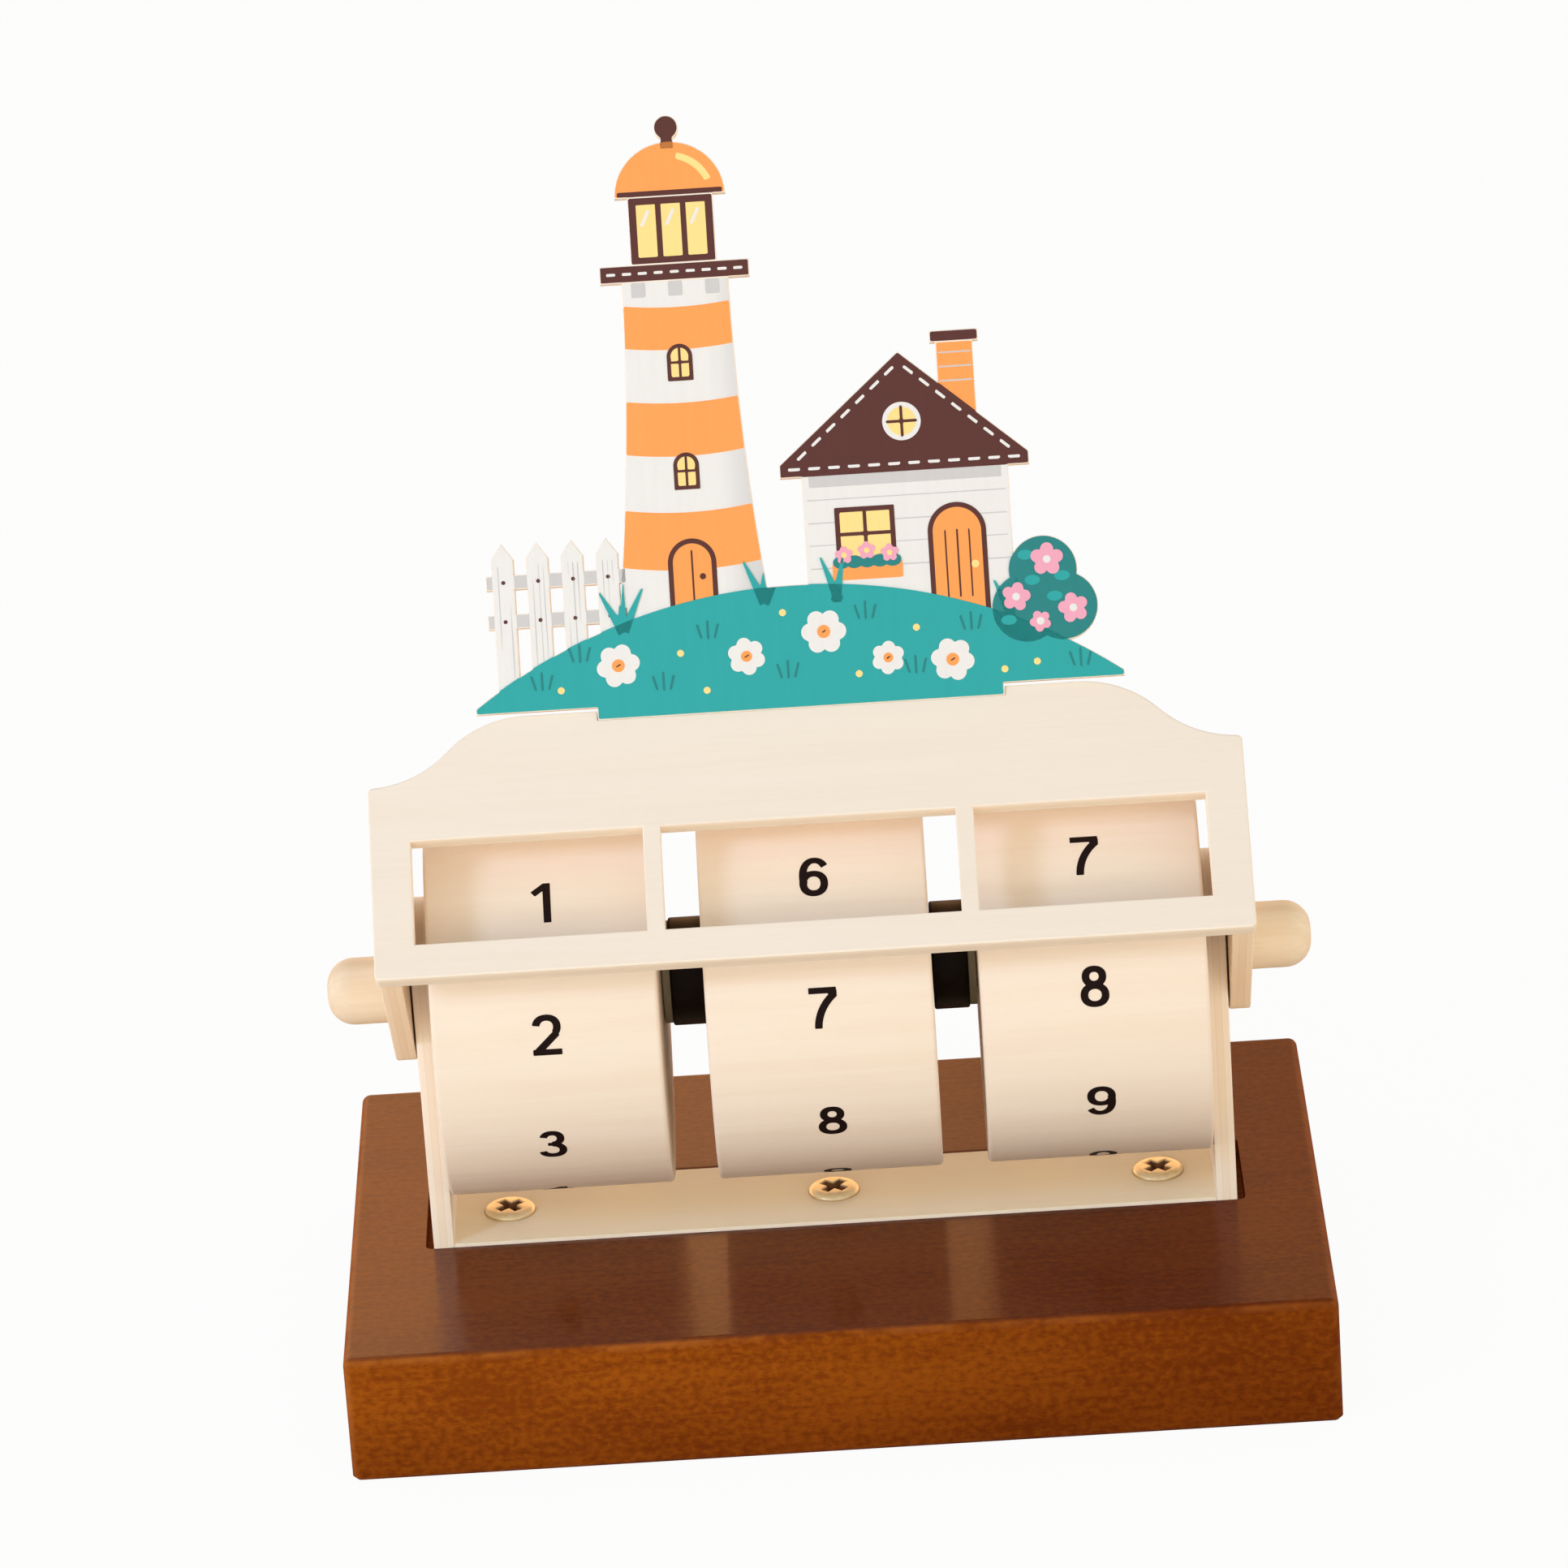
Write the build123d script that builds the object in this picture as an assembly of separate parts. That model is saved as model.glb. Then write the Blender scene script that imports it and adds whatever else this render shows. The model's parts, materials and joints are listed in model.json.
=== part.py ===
from build123d import *

import os

# Perpetual desk calendar: three drums of ten numbers each on a dowel, carried by a
# plywood frame let into a hardwood base, under a windowed plywood hood that
# carries a flat cut-out topper.
#
# Millimetres. Origin at the centre of the base's underside, +X to the right,
# +Y to the back and +Z up. Each sub-part goes to parts/NAME.step.

# --- driving dimensions -------------------------------------------------------
ply = 3.0                    # thickness of every plywood sheet

base_width = 140.0
base_depth = 89.0
base_height = 19.0
base_round = 1.3             # rounded edges of the base, apart from its foot
base_foot_bevel = 0.6        # narrow bevel round the underside

frame_depth = 20.0           # front-to-back width of the floor strip and uprights
strip_proud = 0.5            # the strip stands this far above the base
recess_end_gap = 1.2         # clearance at each end of the recess in the base
recess_side_gap = 0.15       # clearance in front of and behind the strip
recess_corner = 1.1          # radius left by the router in the recess corners

dowel_diameter = 9.6
dowel_overhang = 9.3         # the dowel's rounded end outside each hood arm
dowel_round = 3.8            # radius of the rounded ends
dowel_facets = 4             # cones that make up each rounded end

drum_diameter = 60.0
drum_width = 32.0
drum_gap = 6.5               # between neighbouring drums
drum_rim_bevel = 0.6
drum_floor_gap = 6.8         # between the drums and the top of the base
drum_end_play = 0.4          # between an outer drum and its upright
running_clearance = 0.08     # radial, wherever a piece turns on the dowel

sleeve_diameter = 15.5
sleeve_play = 0.15           # each side, between the spacers and the drums
washer_thickness = 1.1
washer_inset = 0.4           # the washer's rim inside the sleeve's

upright_rise = 13.2          # top of an upright above the axle

arm_width = 20.6
arm_play = 0.3               # between an arm and its upright

hood_lean = 45.0             # degrees that the panel leans back from the vertical
hood_drum_gap = 6.0          # nearest approach of the panel to the drums
window_height = 15.4
window_centre = -0.7         # up the panel, from the foot of the axle's normal
middle_window_width = 41.2
bar_width = 2.5              # upright bars between the windows
side_rail = 5.7
bottom_rail = 5.0
top_rail = 8.3               # from the windows to the shoulders
crest_rise = 9.6             # from the shoulders to the top edge
ogee_width = 22.5            # run of the S-curve at each end of the top edge
panel_round = 0.8            # corners of the panel's outline

notch_depth = 1.4            # seat for the topper in the panel's top edge
topper_lean = 25.0           # degrees that the topper leans back from the vertical
tab_width = 57.0
tab_drop = 1.7               # the tab hangs this far below the hill's foot
tab_play = 0.1               # at each end of the tab, in its notch

screw_spacing = 47.0
screw_head_diameter = 7.4
screw_dome = 1.2
screw_shank_diameter = 3.4
screw_length = 14.0          # below the top of the strip
screw_tip = 3.0
screw_clearance = 0.05       # radial, in the strip and in the pilot hole
cross_width = 1.1
cross_length = 4.2
cross_depth = 1.4

# --- what follows from them ---------------------------------------------------
drum_radius = drum_diameter / 2
dowel_radius = dowel_diameter / 2
bore_radius = dowel_radius + running_clearance
drum_pitch = drum_width + drum_gap
axle_z = base_height + drum_floor_gap + drum_radius

upright_inner = 1.5 * drum_width + drum_gap + drum_end_play
upright_outer = upright_inner + ply
arm_inner = upright_outer + arm_play
arm_outer = arm_inner + ply
dowel_end = arm_outer + dowel_overhang

strip_top = base_height + strip_proud
recess_floor = strip_top - ply

panel_back = drum_radius + hood_drum_gap
panel_front = panel_back + ply
window_bottom = window_centre - window_height / 2
window_top = window_centre + window_height / 2
panel_bottom = window_bottom - bottom_rail
shoulder = window_top + top_rail
crest = shoulder + crest_rise
notch_floor = crest - notch_depth

# The hood plane's origin lies on the panel's front face, at the foot of the
# axle's normal: its x runs along the calendar and its y up the panel.
axle = Vector(0, 0, axle_z)
hood_normal = Vector(0, -1, 0).rotate(Axis.X, -hood_lean)
hood_plane = Plane(axle + hood_normal * panel_front, x_dir=(1, 0, 0), z_dir=hood_normal)

# The topper's front face starts at the front edge of the notch.
topper_normal = Vector(0, -1, 0).rotate(Axis.X, -topper_lean)
topper_plane = Plane(hood_plane.from_local_coords((0, notch_floor, 0)), x_dir=(1, 0, 0), z_dir=topper_normal)


def along_x(sketch, start, length):
    """Extrudes a sketch, drawn with y to the back and z up, along X from start."""
    plane = Plane((start, 0, 0), x_dir=(0, 1, 0), z_dir=(1, 0, 0))
    return extrude(plane * sketch, amount=length)


def round_bar(radius, start, end):
    """A cylinder on the axle line from x = start to x = end."""
    return along_x(Pos(0, axle_z) * Circle(radius), start, end - start)


def mirrored(solid):
    return mirror(solid, about=Plane.YZ)


# --- base, strip and uprights -------------------------------------------------
def screw_flank(allowance):
    """Half outline of a screw below its rim, from the tip to the rim, about the Y axis."""
    head = screw_head_diameter / 2 + allowance
    shank = screw_shank_diameter / 2 + allowance
    tip = -screw_length - allowance
    return [(0, tip), (shank, tip + screw_tip), (shank, shank - head), (head, 0)]


def screw_hole():
    """The countersunk hole that a screw passes through and bites into."""
    profile = make_face(Polyline(*screw_flank(screw_clearance), (0, 0), close=True))
    return revolve(Plane.XZ * profile, Axis.Z)


def screw_places():
    return [Pos(place * screw_spacing, 0, strip_top) for place in (-1, 0, 1)]


def screw():
    """A raised countersunk head with a cross recess, on a plain pointed shank."""
    profile = make_face(Polyline(*screw_flank(0), (cross_length / 2, screw_dome), (0, screw_dome), close=True))
    cross = Rectangle(cross_length, cross_width) + Rectangle(cross_width, cross_length)
    recess = Pos(0, 0, screw_dome - cross_depth) * extrude(cross, amount=2 * cross_depth)
    return revolve(Plane.XZ * profile, Axis.Z) - recess


def base_block():
    block = Pos(0, 0, base_height / 2) * Box(base_width, base_depth, base_height)
    block = fillet(block.edges().filter_by(Axis.Z) + block.edges().group_by(Axis.Z)[-1], base_round)
    block = chamfer(block.edges().group_by(Axis.Z)[0], base_foot_bevel)
    length = 2 * (upright_outer + recess_end_gap)
    depth = frame_depth + 2 * recess_side_gap
    recess = Pos(0, 0, recess_floor) * extrude(RectangleRounded(length, depth, recess_corner), amount=ply)
    block -= recess
    for place in screw_places():
        block -= place * screw_hole()
    return block


def floor_strip():
    strip = Pos(0, 0, strip_top - ply / 2) * Box(2 * upright_inner, frame_depth, ply)
    for place in screw_places():
        strip -= place * screw_hole()
    return strip


def upright():
    """The left upright: a round-topped plate that stands on the recess floor."""
    radius = frame_depth / 2
    top_centre = axle_z + upright_rise - radius
    plate = Pos(0, (recess_floor + top_centre) / 2) * Rectangle(frame_depth, top_centre - recess_floor)
    plate += Pos(0, top_centre) * Circle(radius)
    plate -= Pos(0, axle_z) * Circle(dowel_radius)
    return along_x(plate, -upright_outer, ply)


# --- axle, drums and spacers --------------------------------------------------
def axle_dowel():
    """A rod whose ends are rounded over in a few narrow cones."""
    centre = Vector(dowel_end - dowel_round, dowel_radius - dowel_round)
    turns = [90 / dowel_facets * i for i in range(dowel_facets + 1)]
    right = [centre + Vector(0, dowel_round).rotate(Axis.Z, -turn) for turn in turns]
    left = [Vector(-point.X, point.Y) for point in reversed(right)]
    profile = make_face(Polyline((-dowel_end, 0), *left, *right, (dowel_end, 0), close=True))
    return Pos(0, 0, axle_z) * revolve(profile, Axis.X)


def drum(centre):
    body = round_bar(drum_radius, centre - drum_width / 2, centre + drum_width / 2)
    body = chamfer(body.edges(), drum_rim_bevel)
    return body - round_bar(bore_radius, centre - drum_width, centre + drum_width)


def washer():
    """The left washer, beside the left drum."""
    start = -drum_width / 2 - drum_gap + sleeve_play
    end = start + washer_thickness
    return round_bar(sleeve_diameter / 2 - washer_inset, start, end) - round_bar(bore_radius, start, end)


def sleeve():
    """The left sleeve, between the left washer and the middle drum."""
    start = -drum_width / 2 - drum_gap + sleeve_play + washer_thickness
    end = -drum_width / 2 - sleeve_play
    return round_bar(sleeve_diameter / 2, start, end) - round_bar(dowel_radius, start, end)


# --- hood ---------------------------------------------------------------------
def panel_outline():
    """A flat bottom, square shoulders and an ogee that rises to a flat crest."""
    corner = Vector(arm_outer, shoulder)
    middle = Vector(arm_outer - ogee_width / 2, shoulder + crest_rise / 2)
    top = Vector(arm_outer - ogee_width, crest)
    rise = TangentArc(corner, middle, tangent=(-1, 0))
    crown = TangentArc(middle, top, tangent=rise % 1)
    right = Polyline((0, panel_bottom), (arm_outer, panel_bottom), corner) + rise + crown + Line(top, (0, crest))
    half = make_face(right + Line((0, crest), (0, panel_bottom)))
    outline = half + mirror(half, about=Plane.YZ)
    corners = outline.vertices().filter_by(lambda v: abs(v.X) > arm_outer - panel_round)
    return fillet(corners, panel_round)


def windows():
    outer_start = middle_window_width / 2 + bar_width
    outer_width = arm_outer - side_rail - outer_start
    outer_centre = outer_start + outer_width / 2
    openings = Pos(0, window_centre) * Rectangle(middle_window_width, window_height)
    for side in (-1, 1):
        openings += Pos(side * outer_centre, window_centre) * Rectangle(outer_width, window_height)
    return openings


def hood_panel():
    notch = Pos(0, crest) * Rectangle(tab_width + 2 * tab_play, 2 * notch_depth)
    return extrude(hood_plane * (panel_outline() - windows() - notch), amount=-ply)


def arm():
    """The left arm: round about the axle and butted to the back of the panel."""
    bar = Pos(0, 0) * Circle(arm_width / 2)
    bar += Pos(-panel_back / 2, 0) * Rectangle(panel_back, arm_width)
    bar -= Circle(bore_radius)
    return along_x(Pos(0, axle_z) * Rot(0, 0, -hood_lean) * bar, -arm_outer, ply)


# --- topper -------------------------------------------------------------------
hill_width = 91.0
hill_height = 15.5           # crown of the hill above its foot
hill_tip = 0.8               # blunt height of the hill's two tips

tower_x = -14.0
tower_foot_width = 25.0
tower_head_width = 15.0
tower_height = 61.0          # deck level above the topper's foot
tower_waist = 1.2            # how far the tower's sides curve in
deck_width = 21.0
deck_thickness = 2.4
lantern_width = 12.0
lantern_height = 9.5
dome_width = 15.6
dome_height = 7.6
finial_stem_width = 1.8
finial_stem_height = 2.0
finial_radius = 1.7

cottage_x = 16.5
cottage_width = 29.0
cottage_eaves = 34.0         # eaves level above the topper's foot
roof_width = 35.0
roof_height = 15.0
roof_lip = 1.8
chimney_x = 24.5
chimney_width = 5.2
chimney_top = 50.0
chimney_cap = 1.6

picket_count = 4
picket_width = 3.1
picket_pitch = 4.9
picket_height = 25.5
picket_point = 2.2
picket_start = -40.6         # centre of the first picket
rail_width = 2.0
lower_rail = 14.5            # level of each rail above the topper's foot
upper_rail = 20.0

bush_x = 35.0
bush_level = 12.0            # centre of the lower lobes above the topper's foot
bush_radius = 4.8
bush_spread = 2.6            # each lobe's centre from the bush's middle


def hill():
    left, right = -hill_width / 2, hill_width / 2
    crown = ThreePointArc((right, tab_drop + hill_tip), (0, tab_drop + hill_height), (left, tab_drop + hill_tip))
    edge = Polyline((left, tab_drop + hill_tip), (left, tab_drop), (right, tab_drop), (right, tab_drop + hill_tip))
    body = make_face(edge + crown)
    return body + Pos(0, tab_drop / 2) * Rectangle(tab_width, 3 * tab_drop)


def lighthouse():
    foot, head = tower_foot_width / 2, tower_head_width / 2
    waist = (foot + head) / 2 - tower_waist
    middle = (tab_drop + tower_height) / 2
    sides = [ThreePointArc((side * foot, tab_drop), (side * waist, middle), (side * head, tower_height))
             for side in (-1, 1)]
    tower = make_face(sides[0] + sides[1] + Line((-foot, tab_drop), (foot, tab_drop))
                      + Line((-head, tower_height), (head, tower_height)))
    level = tower_height
    tower += Pos(0, level + deck_thickness / 2) * Rectangle(deck_width, deck_thickness)
    level += deck_thickness
    tower += Pos(0, level + lantern_height / 2) * Rectangle(lantern_width, lantern_height)
    level += lantern_height
    dome = Pos(0, level) * Ellipse(dome_width / 2, dome_height)
    tower += dome & (Pos(0, level + dome_height) * Rectangle(2 * dome_width, 2 * dome_height))
    level += dome_height
    stem_middle = level + finial_stem_height / 2 - finial_radius / 2
    tower += Pos(0, stem_middle) * Rectangle(finial_stem_width, finial_stem_height + finial_radius)
    tower += Pos(0, level + finial_stem_height) * Circle(finial_radius)
    return Pos(tower_x, 0) * tower


def cottage():
    walls = Pos(cottage_x, (tab_drop + cottage_eaves) / 2) * Rectangle(cottage_width, cottage_eaves - tab_drop)
    half_roof = roof_width / 2
    roof = make_face(Polyline(
        (-half_roof, cottage_eaves - roof_lip), (half_roof, cottage_eaves - roof_lip), (half_roof, cottage_eaves),
        (0, cottage_eaves + roof_height), (-half_roof, cottage_eaves), close=True))
    stack = Pos(chimney_x, (cottage_eaves + chimney_top) / 2) * Rectangle(
        chimney_width, chimney_top - cottage_eaves)
    cap = Pos(chimney_x, chimney_top + chimney_cap / 2) * Rectangle(
        chimney_width + chimney_cap, chimney_cap)
    return walls + Pos(cottage_x, 0) * roof + stack + cap


def picket_fence():
    half = picket_width / 2
    body = picket_height - picket_point
    picket = make_face(Polyline((-half, tab_drop), (half, tab_drop), (half, body), (0, picket_height),
                                (-half, body), close=True))
    end = picket_start + (picket_count - 1) * picket_pitch
    length = end - picket_start + picket_pitch
    fence = Pos(picket_start, 0) * picket
    for i in range(1, picket_count):
        fence += Pos(picket_start + i * picket_pitch, 0) * picket
    for level in (lower_rail, upper_rail):
        fence += Pos((picket_start + end) / 2, level) * Rectangle(length, rail_width)
    return fence


def bush():
    """Two lobes side by side and one on top."""
    lobe = Circle(bush_radius)
    pair = Pos(-bush_spread, 0) * lobe + Pos(bush_spread, 0) * lobe
    return Pos(bush_x, bush_level) * (pair + Pos(0, 2 * bush_spread) * lobe)


def topper_plaque():
    """One flat plate: a lighthouse, a cottage, a fence and a bush on a hill."""
    outline = hill() + lighthouse() + cottage() + picket_fence() + bush()
    plate = extrude(topper_plane * outline, amount=-ply)
    below_notch = Plane(hood_plane.from_local_coords((0, notch_floor, 0)),
                        x_dir=(1, 0, 0), z_dir=-hood_plane.y_dir)
    return plate - extrude(below_notch * Rectangle(2 * tab_width, 8 * ply), amount=4 * ply)


# --- the assembly -------------------------------------------------------------
def assembly():
    left_of = {"upright": upright(), "washer": washer(), "sleeve": sleeve(), "arm": arm()}
    parts = {
        "base_block": base_block(),
        "floor_strip": floor_strip(),
        "axle_dowel": axle_dowel(),
        "hood_panel": hood_panel(),
        "topper_plaque": topper_plaque(),
    }
    for name, solid in left_of.items():
        parts[name + "_left"] = solid
        parts[name + "_right"] = mirrored(solid)
    for side, place in zip(("left", "middle", "right"), (-1, 0, 1)):
        parts["drum_" + side] = drum(place * drum_pitch)
    for side, place in zip(("left", "middle", "right"), screw_places()):
        parts["screw_" + side] = place * screw()
    return parts


os.makedirs("parts", exist_ok=True)
for name, solid in assembly().items():
    export_step(solid, f"parts/{name}.step")
    print(name, len(solid.solids()), round(solid.volume, 1))
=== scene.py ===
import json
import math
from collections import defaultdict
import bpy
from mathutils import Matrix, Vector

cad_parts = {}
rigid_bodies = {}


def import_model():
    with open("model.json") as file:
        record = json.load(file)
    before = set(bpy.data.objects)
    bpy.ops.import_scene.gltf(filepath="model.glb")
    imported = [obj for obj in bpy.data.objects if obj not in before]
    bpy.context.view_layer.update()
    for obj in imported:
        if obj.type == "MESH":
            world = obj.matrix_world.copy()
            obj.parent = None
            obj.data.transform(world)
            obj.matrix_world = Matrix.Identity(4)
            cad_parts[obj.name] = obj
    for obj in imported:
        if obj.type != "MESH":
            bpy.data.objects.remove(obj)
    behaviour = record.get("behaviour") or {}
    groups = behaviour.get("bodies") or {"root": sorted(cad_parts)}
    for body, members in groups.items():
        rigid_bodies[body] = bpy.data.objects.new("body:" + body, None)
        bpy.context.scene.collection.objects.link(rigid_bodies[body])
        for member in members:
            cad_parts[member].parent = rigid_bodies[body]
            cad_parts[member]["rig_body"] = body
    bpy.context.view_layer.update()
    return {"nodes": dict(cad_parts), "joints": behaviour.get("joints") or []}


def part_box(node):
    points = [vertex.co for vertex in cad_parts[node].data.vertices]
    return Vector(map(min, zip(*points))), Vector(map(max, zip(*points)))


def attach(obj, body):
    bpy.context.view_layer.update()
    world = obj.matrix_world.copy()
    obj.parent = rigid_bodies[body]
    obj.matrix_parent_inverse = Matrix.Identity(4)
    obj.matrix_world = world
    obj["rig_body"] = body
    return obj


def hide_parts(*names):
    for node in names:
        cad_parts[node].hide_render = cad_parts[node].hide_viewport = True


bl_info = {
    "name": "Desk Day Counter",
    "version": (1, 0, 0),
    "blender": (4, 5, 0),
    "location": "View3D > Sidebar > Day Counter",
    "description": "Dresses a wooden desk day counter: base, plywood hood, number drums and painted topper",
    "category": "Object",
}

from types import SimpleNamespace

import bmesh
import bpy
import numpy as np
from bpy.props import FloatProperty, FloatVectorProperty, IntProperty, PointerProperty
from mathutils import Matrix, Quaternion, Vector
from mathutils.geometry import tessellate_polygon

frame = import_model()
axle = Vector(frame["joints"][0]["pos_m"])

MM = 0.001
SIDES = ("left", "middle", "right")
RIGHTWARDS = Vector((1, 0, 0))
UPWARDS = Vector((0, 0, 1))
SAME_POINT = 0.001 * MM           # points this close are joined
FLAT = 0.01 * MM                  # how far from its plane a flat face may lie
FLAT_TURN = math.radians(0.5)     # faces that turn less than this are one
SHARP = math.radians(35)          # edges that turn more than this stay sharp


def srgb(red, green, blue):
    """A linear colour from display values of 0 to 255."""
    shares = [value / 255 for value in (red, green, blue)]
    return tuple(share / 12.92 if share <= 0.04045 else ((share + 0.055) / 1.055) ** 2.4 for share in shares)


def length(name, description, millimetres):
    return FloatProperty(name=name, description=description, default=millimetres * MM, unit="LENGTH")


def angle(name, description, degrees):
    return FloatProperty(name=name, description=description, default=math.radians(degrees), unit="ROTATION")


def digit(name, description, value):
    return IntProperty(name=name, description=description, default=value, min=0, max=9)


def colour(name, description, *values):
    return FloatVectorProperty(name=name, description=description, default=srgb(*values), subtype="COLOR")


# --- what a user would change -------------------------------------------------
class DayCounterSizes(bpy.types.PropertyGroup):
    """Sizes of the finish, of the numerals and of the view."""

    base_ease: length("Base edges", "Width of the rubbed edges of the base", 1.3)
    sheet_ease: length("Sheet edges", "Bevel on the plywood's edges", 0.22)
    drum_rim: length("Drum rims", "Radius of the drums' rims", 0.6)
    dowel_round: length("Dowel ends", "Radius of the dowel's rounded ends", 3.8)
    numeral_height: length("Numeral height", "Height of a printed numeral", 5.9)
    numeral_breadth: FloatProperty(name="Numeral breadth", description="Stretches the numerals sideways",
                                   default=1.1, min=0.5, max=1.5, subtype="FACTOR")
    ink_thickness: length("Ink thickness", "How far the print stands proud", 0.03)
    left_number: digit("Left number", "Numeral in the left window", 1)
    left_turn: angle("Left turn", "Height of the left numeral above the axle's level", 45.2)
    middle_number: digit("Middle number", "Numeral in the middle window", 6)
    middle_turn: angle("Middle turn", "Height of the middle numeral above the axle's level", 47.9)
    right_number: digit("Right number", "Numeral in the right window", 7)
    right_turn: angle("Right turn", "Height of the right numeral above the axle's level", 49.2)
    camera_distance: length("Camera distance", "From the camera to what it looks at", 1221)
    camera_azimuth: angle("Camera azimuth", "Turn of the camera round the counter", -0.75)
    camera_elevation: angle("Camera elevation", "Height of the camera above the horizon", 23.08)
    camera_roll: angle("Camera roll", "Turn of the camera about its own line of sight", -3.86)


class DayCounterColours(bpy.types.PropertyGroup):
    """Colours of the woods, the paints and the small parts."""

    stain: colour("Stain", "Brown stain of the base", 157, 81, 11)
    stain_dark: colour("Dark stain", "Stain that has gathered in the grain", 126, 57, 6)
    # the rubbed edge's colour is also a painted highlight, where the rounded edges catch the light
    edge_wear_and_highlight: colour("Rubbed edge", "Stain that is rubbed thin on the edges", 180, 104, 44)
    veneer: colour("Veneer", "Pale face of the plywood", 247, 233, 219)
    layers: colour("Layers", "Cut edge of the plywood", 252, 238, 220)
    # the arms' colour is a warmer copy of the veneer: painted shade for the warm shadow they sit in under the
    # hood
    arm: colour("Arms", "Warmer plywood of the hood's arms", 253, 231, 203)
    strip: colour("Strip", "Face of the floor strip", 255, 243, 213)
    drum: colour("Drum wood", "Pale turned wood of the drums", 244, 228, 211)
    dowel: colour("Dowel wood", "Pale wood of the axle", 243, 224, 198)
    ink: colour("Ink", "Printed numerals", 32, 20, 18)
    rubber: colour("Rubber", "Black sleeves", 26, 16, 10)
    washer: colour("Washer", "Thin washers beside the sleeves", 150, 140, 116)
    brass: colour("Brass", "Plated screws", 255, 242, 204)
    white: colour("White paint", "Tower, cottage and fence", 236, 232, 230)
    shade: colour("Grey paint", "Soft lines on the white paint", 206, 202, 202)
    teal: colour("Teal paint", "Hill", 20, 164, 164)
    leaf: colour("Leaf paint", "Grass and bush", 10, 128, 128)
    orange: colour("Orange paint", "Bands, dome and door", 255, 160, 80)
    brown: colour("Brown paint", "Roof, deck and frames", 84, 32, 24)
    pink: colour("Pink paint", "Blossom", 242, 166, 190)
    glow: colour("Yellow paint", "Lit panes and flower centres", 255, 222, 140)


# --- shader nodes -------------------------------------------------------------
class Value:
    """A shader socket that carries a number. Arithmetic on it adds Math nodes."""

    def __init__(self, nodes, socket):
        self.nodes = nodes
        self.socket = socket

    def __add__(self, other):
        return self.nodes.math("ADD", self, other)

    def __radd__(self, other):
        return self.nodes.math("ADD", other, self)

    def __sub__(self, other):
        return self.nodes.math("SUBTRACT", self, other)

    def __rsub__(self, other):
        return self.nodes.math("SUBTRACT", other, self)

    def __mul__(self, other):
        return self.nodes.math("MULTIPLY", self, other)

    def __rmul__(self, other):
        return self.nodes.math("MULTIPLY", other, self)

    def __abs__(self):
        return self.nodes.math("ABSOLUTE", self)

    def rise(self, low, high):
        """0 below low and 1 above high, with a smooth step between them."""
        return self.nodes.node("MapRange", {"interpolation_type": "SMOOTHSTEP"},
                               {"Value": self, "From Min": low, "From Max": high})


class Nodes:
    """The shader nodes of a material or of the world."""

    def __init__(self, tree):
        self.tree = tree

    def feed(self, node, inputs):
        """Sets a node's sockets to plain values, or links them."""
        for key, value in inputs.items():
            socket = node.inputs[key]
            if isinstance(value, Value):
                self.tree.links.new(value.socket, socket)
            elif socket.type == "RGBA" and len(value) == 3:
                socket.default_value = (*value, 1)
            else:
                socket.default_value = value

    def node(self, kind, settings=None, inputs=None, output=0):
        """Adds a node of a kind, sets it up, feeds its sockets and gives one output."""
        node = self.tree.nodes.new("ShaderNode" + kind)
        for name, value in (settings or {}).items():
            setattr(node, name, value)
        self.feed(node, inputs or {})
        return Value(self, node.outputs[output])

    def math(self, operation, *values):
        return self.node("Math", {"operation": operation}, dict(enumerate(values)))

    def vector(self, operation, *values):
        return self.node("VectorMath", {"operation": operation}, dict(enumerate(values)))

    def xyz(self, vector):
        return [self.node("SeparateXYZ", inputs={"Vector": vector}, output=axis) for axis in range(3)]

    def mix(self, share, low, high):
        """A colour between two others."""
        return self.node("Mix", {"data_type": "RGBA"}, {0: share, 6: low, 7: high}, output=2)


class Finish(Nodes):
    """A material and the nodes that make its surface. Its textures measure in millimetres."""

    def __init__(self, name, **surface):
        self.material = bpy.data.materials.new(name)
        self.material.use_nodes = True
        super().__init__(self.material.node_tree)
        self.surface = self.tree.nodes["Principled BSDF"]
        self.feed(self.surface, {key.replace("_", " "): value for key, value in surface.items()})

    def place(self, matrix=Matrix()):
        """The point that is shaded, in millimetres, in the frame of a matrix."""
        point = self.node("TexCoord", output="Object")
        return self.node("Mapping", {"vector_type": "TEXTURE"},
                         {"Vector": point, "Location": matrix.translation, "Rotation": matrix.to_euler(),
                          "Scale": (MM, MM, MM)})

    def noise(self, point, per_mm, detail=3.0):
        """Noise with so many features per millimetre along each axis."""
        return self.node("TexNoise", inputs={"Vector": self.vector("MULTIPLY", point, per_mm), "Scale": 1.0,
                                             "Detail": detail})

    def even_noise(self, point, per_mm, detail=3.0):
        """Noise that is alike in all directions."""
        return self.noise(point, (per_mm, per_mm, per_mm), detail)

    def cover(self, base_colour, roughness, height, depth, gloss=0.0):
        """Feeds the surface. Height runs from 0 to 1 over so many millimetres of depth."""
        bump = self.node("Bump", inputs={"Height": height, "Distance": depth * MM})
        self.feed(self.surface, {"Base Color": base_colour, "Roughness": roughness, "Normal": bump,
                                 "Coat Weight": gloss})
        return self


# --- finishes -----------------------------------------------------------------
BARE_WOOD = 0.15                  # specular level of wood without lacquer


def tinted(colour_value, *shares):
    """A colour with its red, green and blue each taken down to a share."""
    return tuple(value * share for value, share in zip(colour_value, shares))


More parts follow.
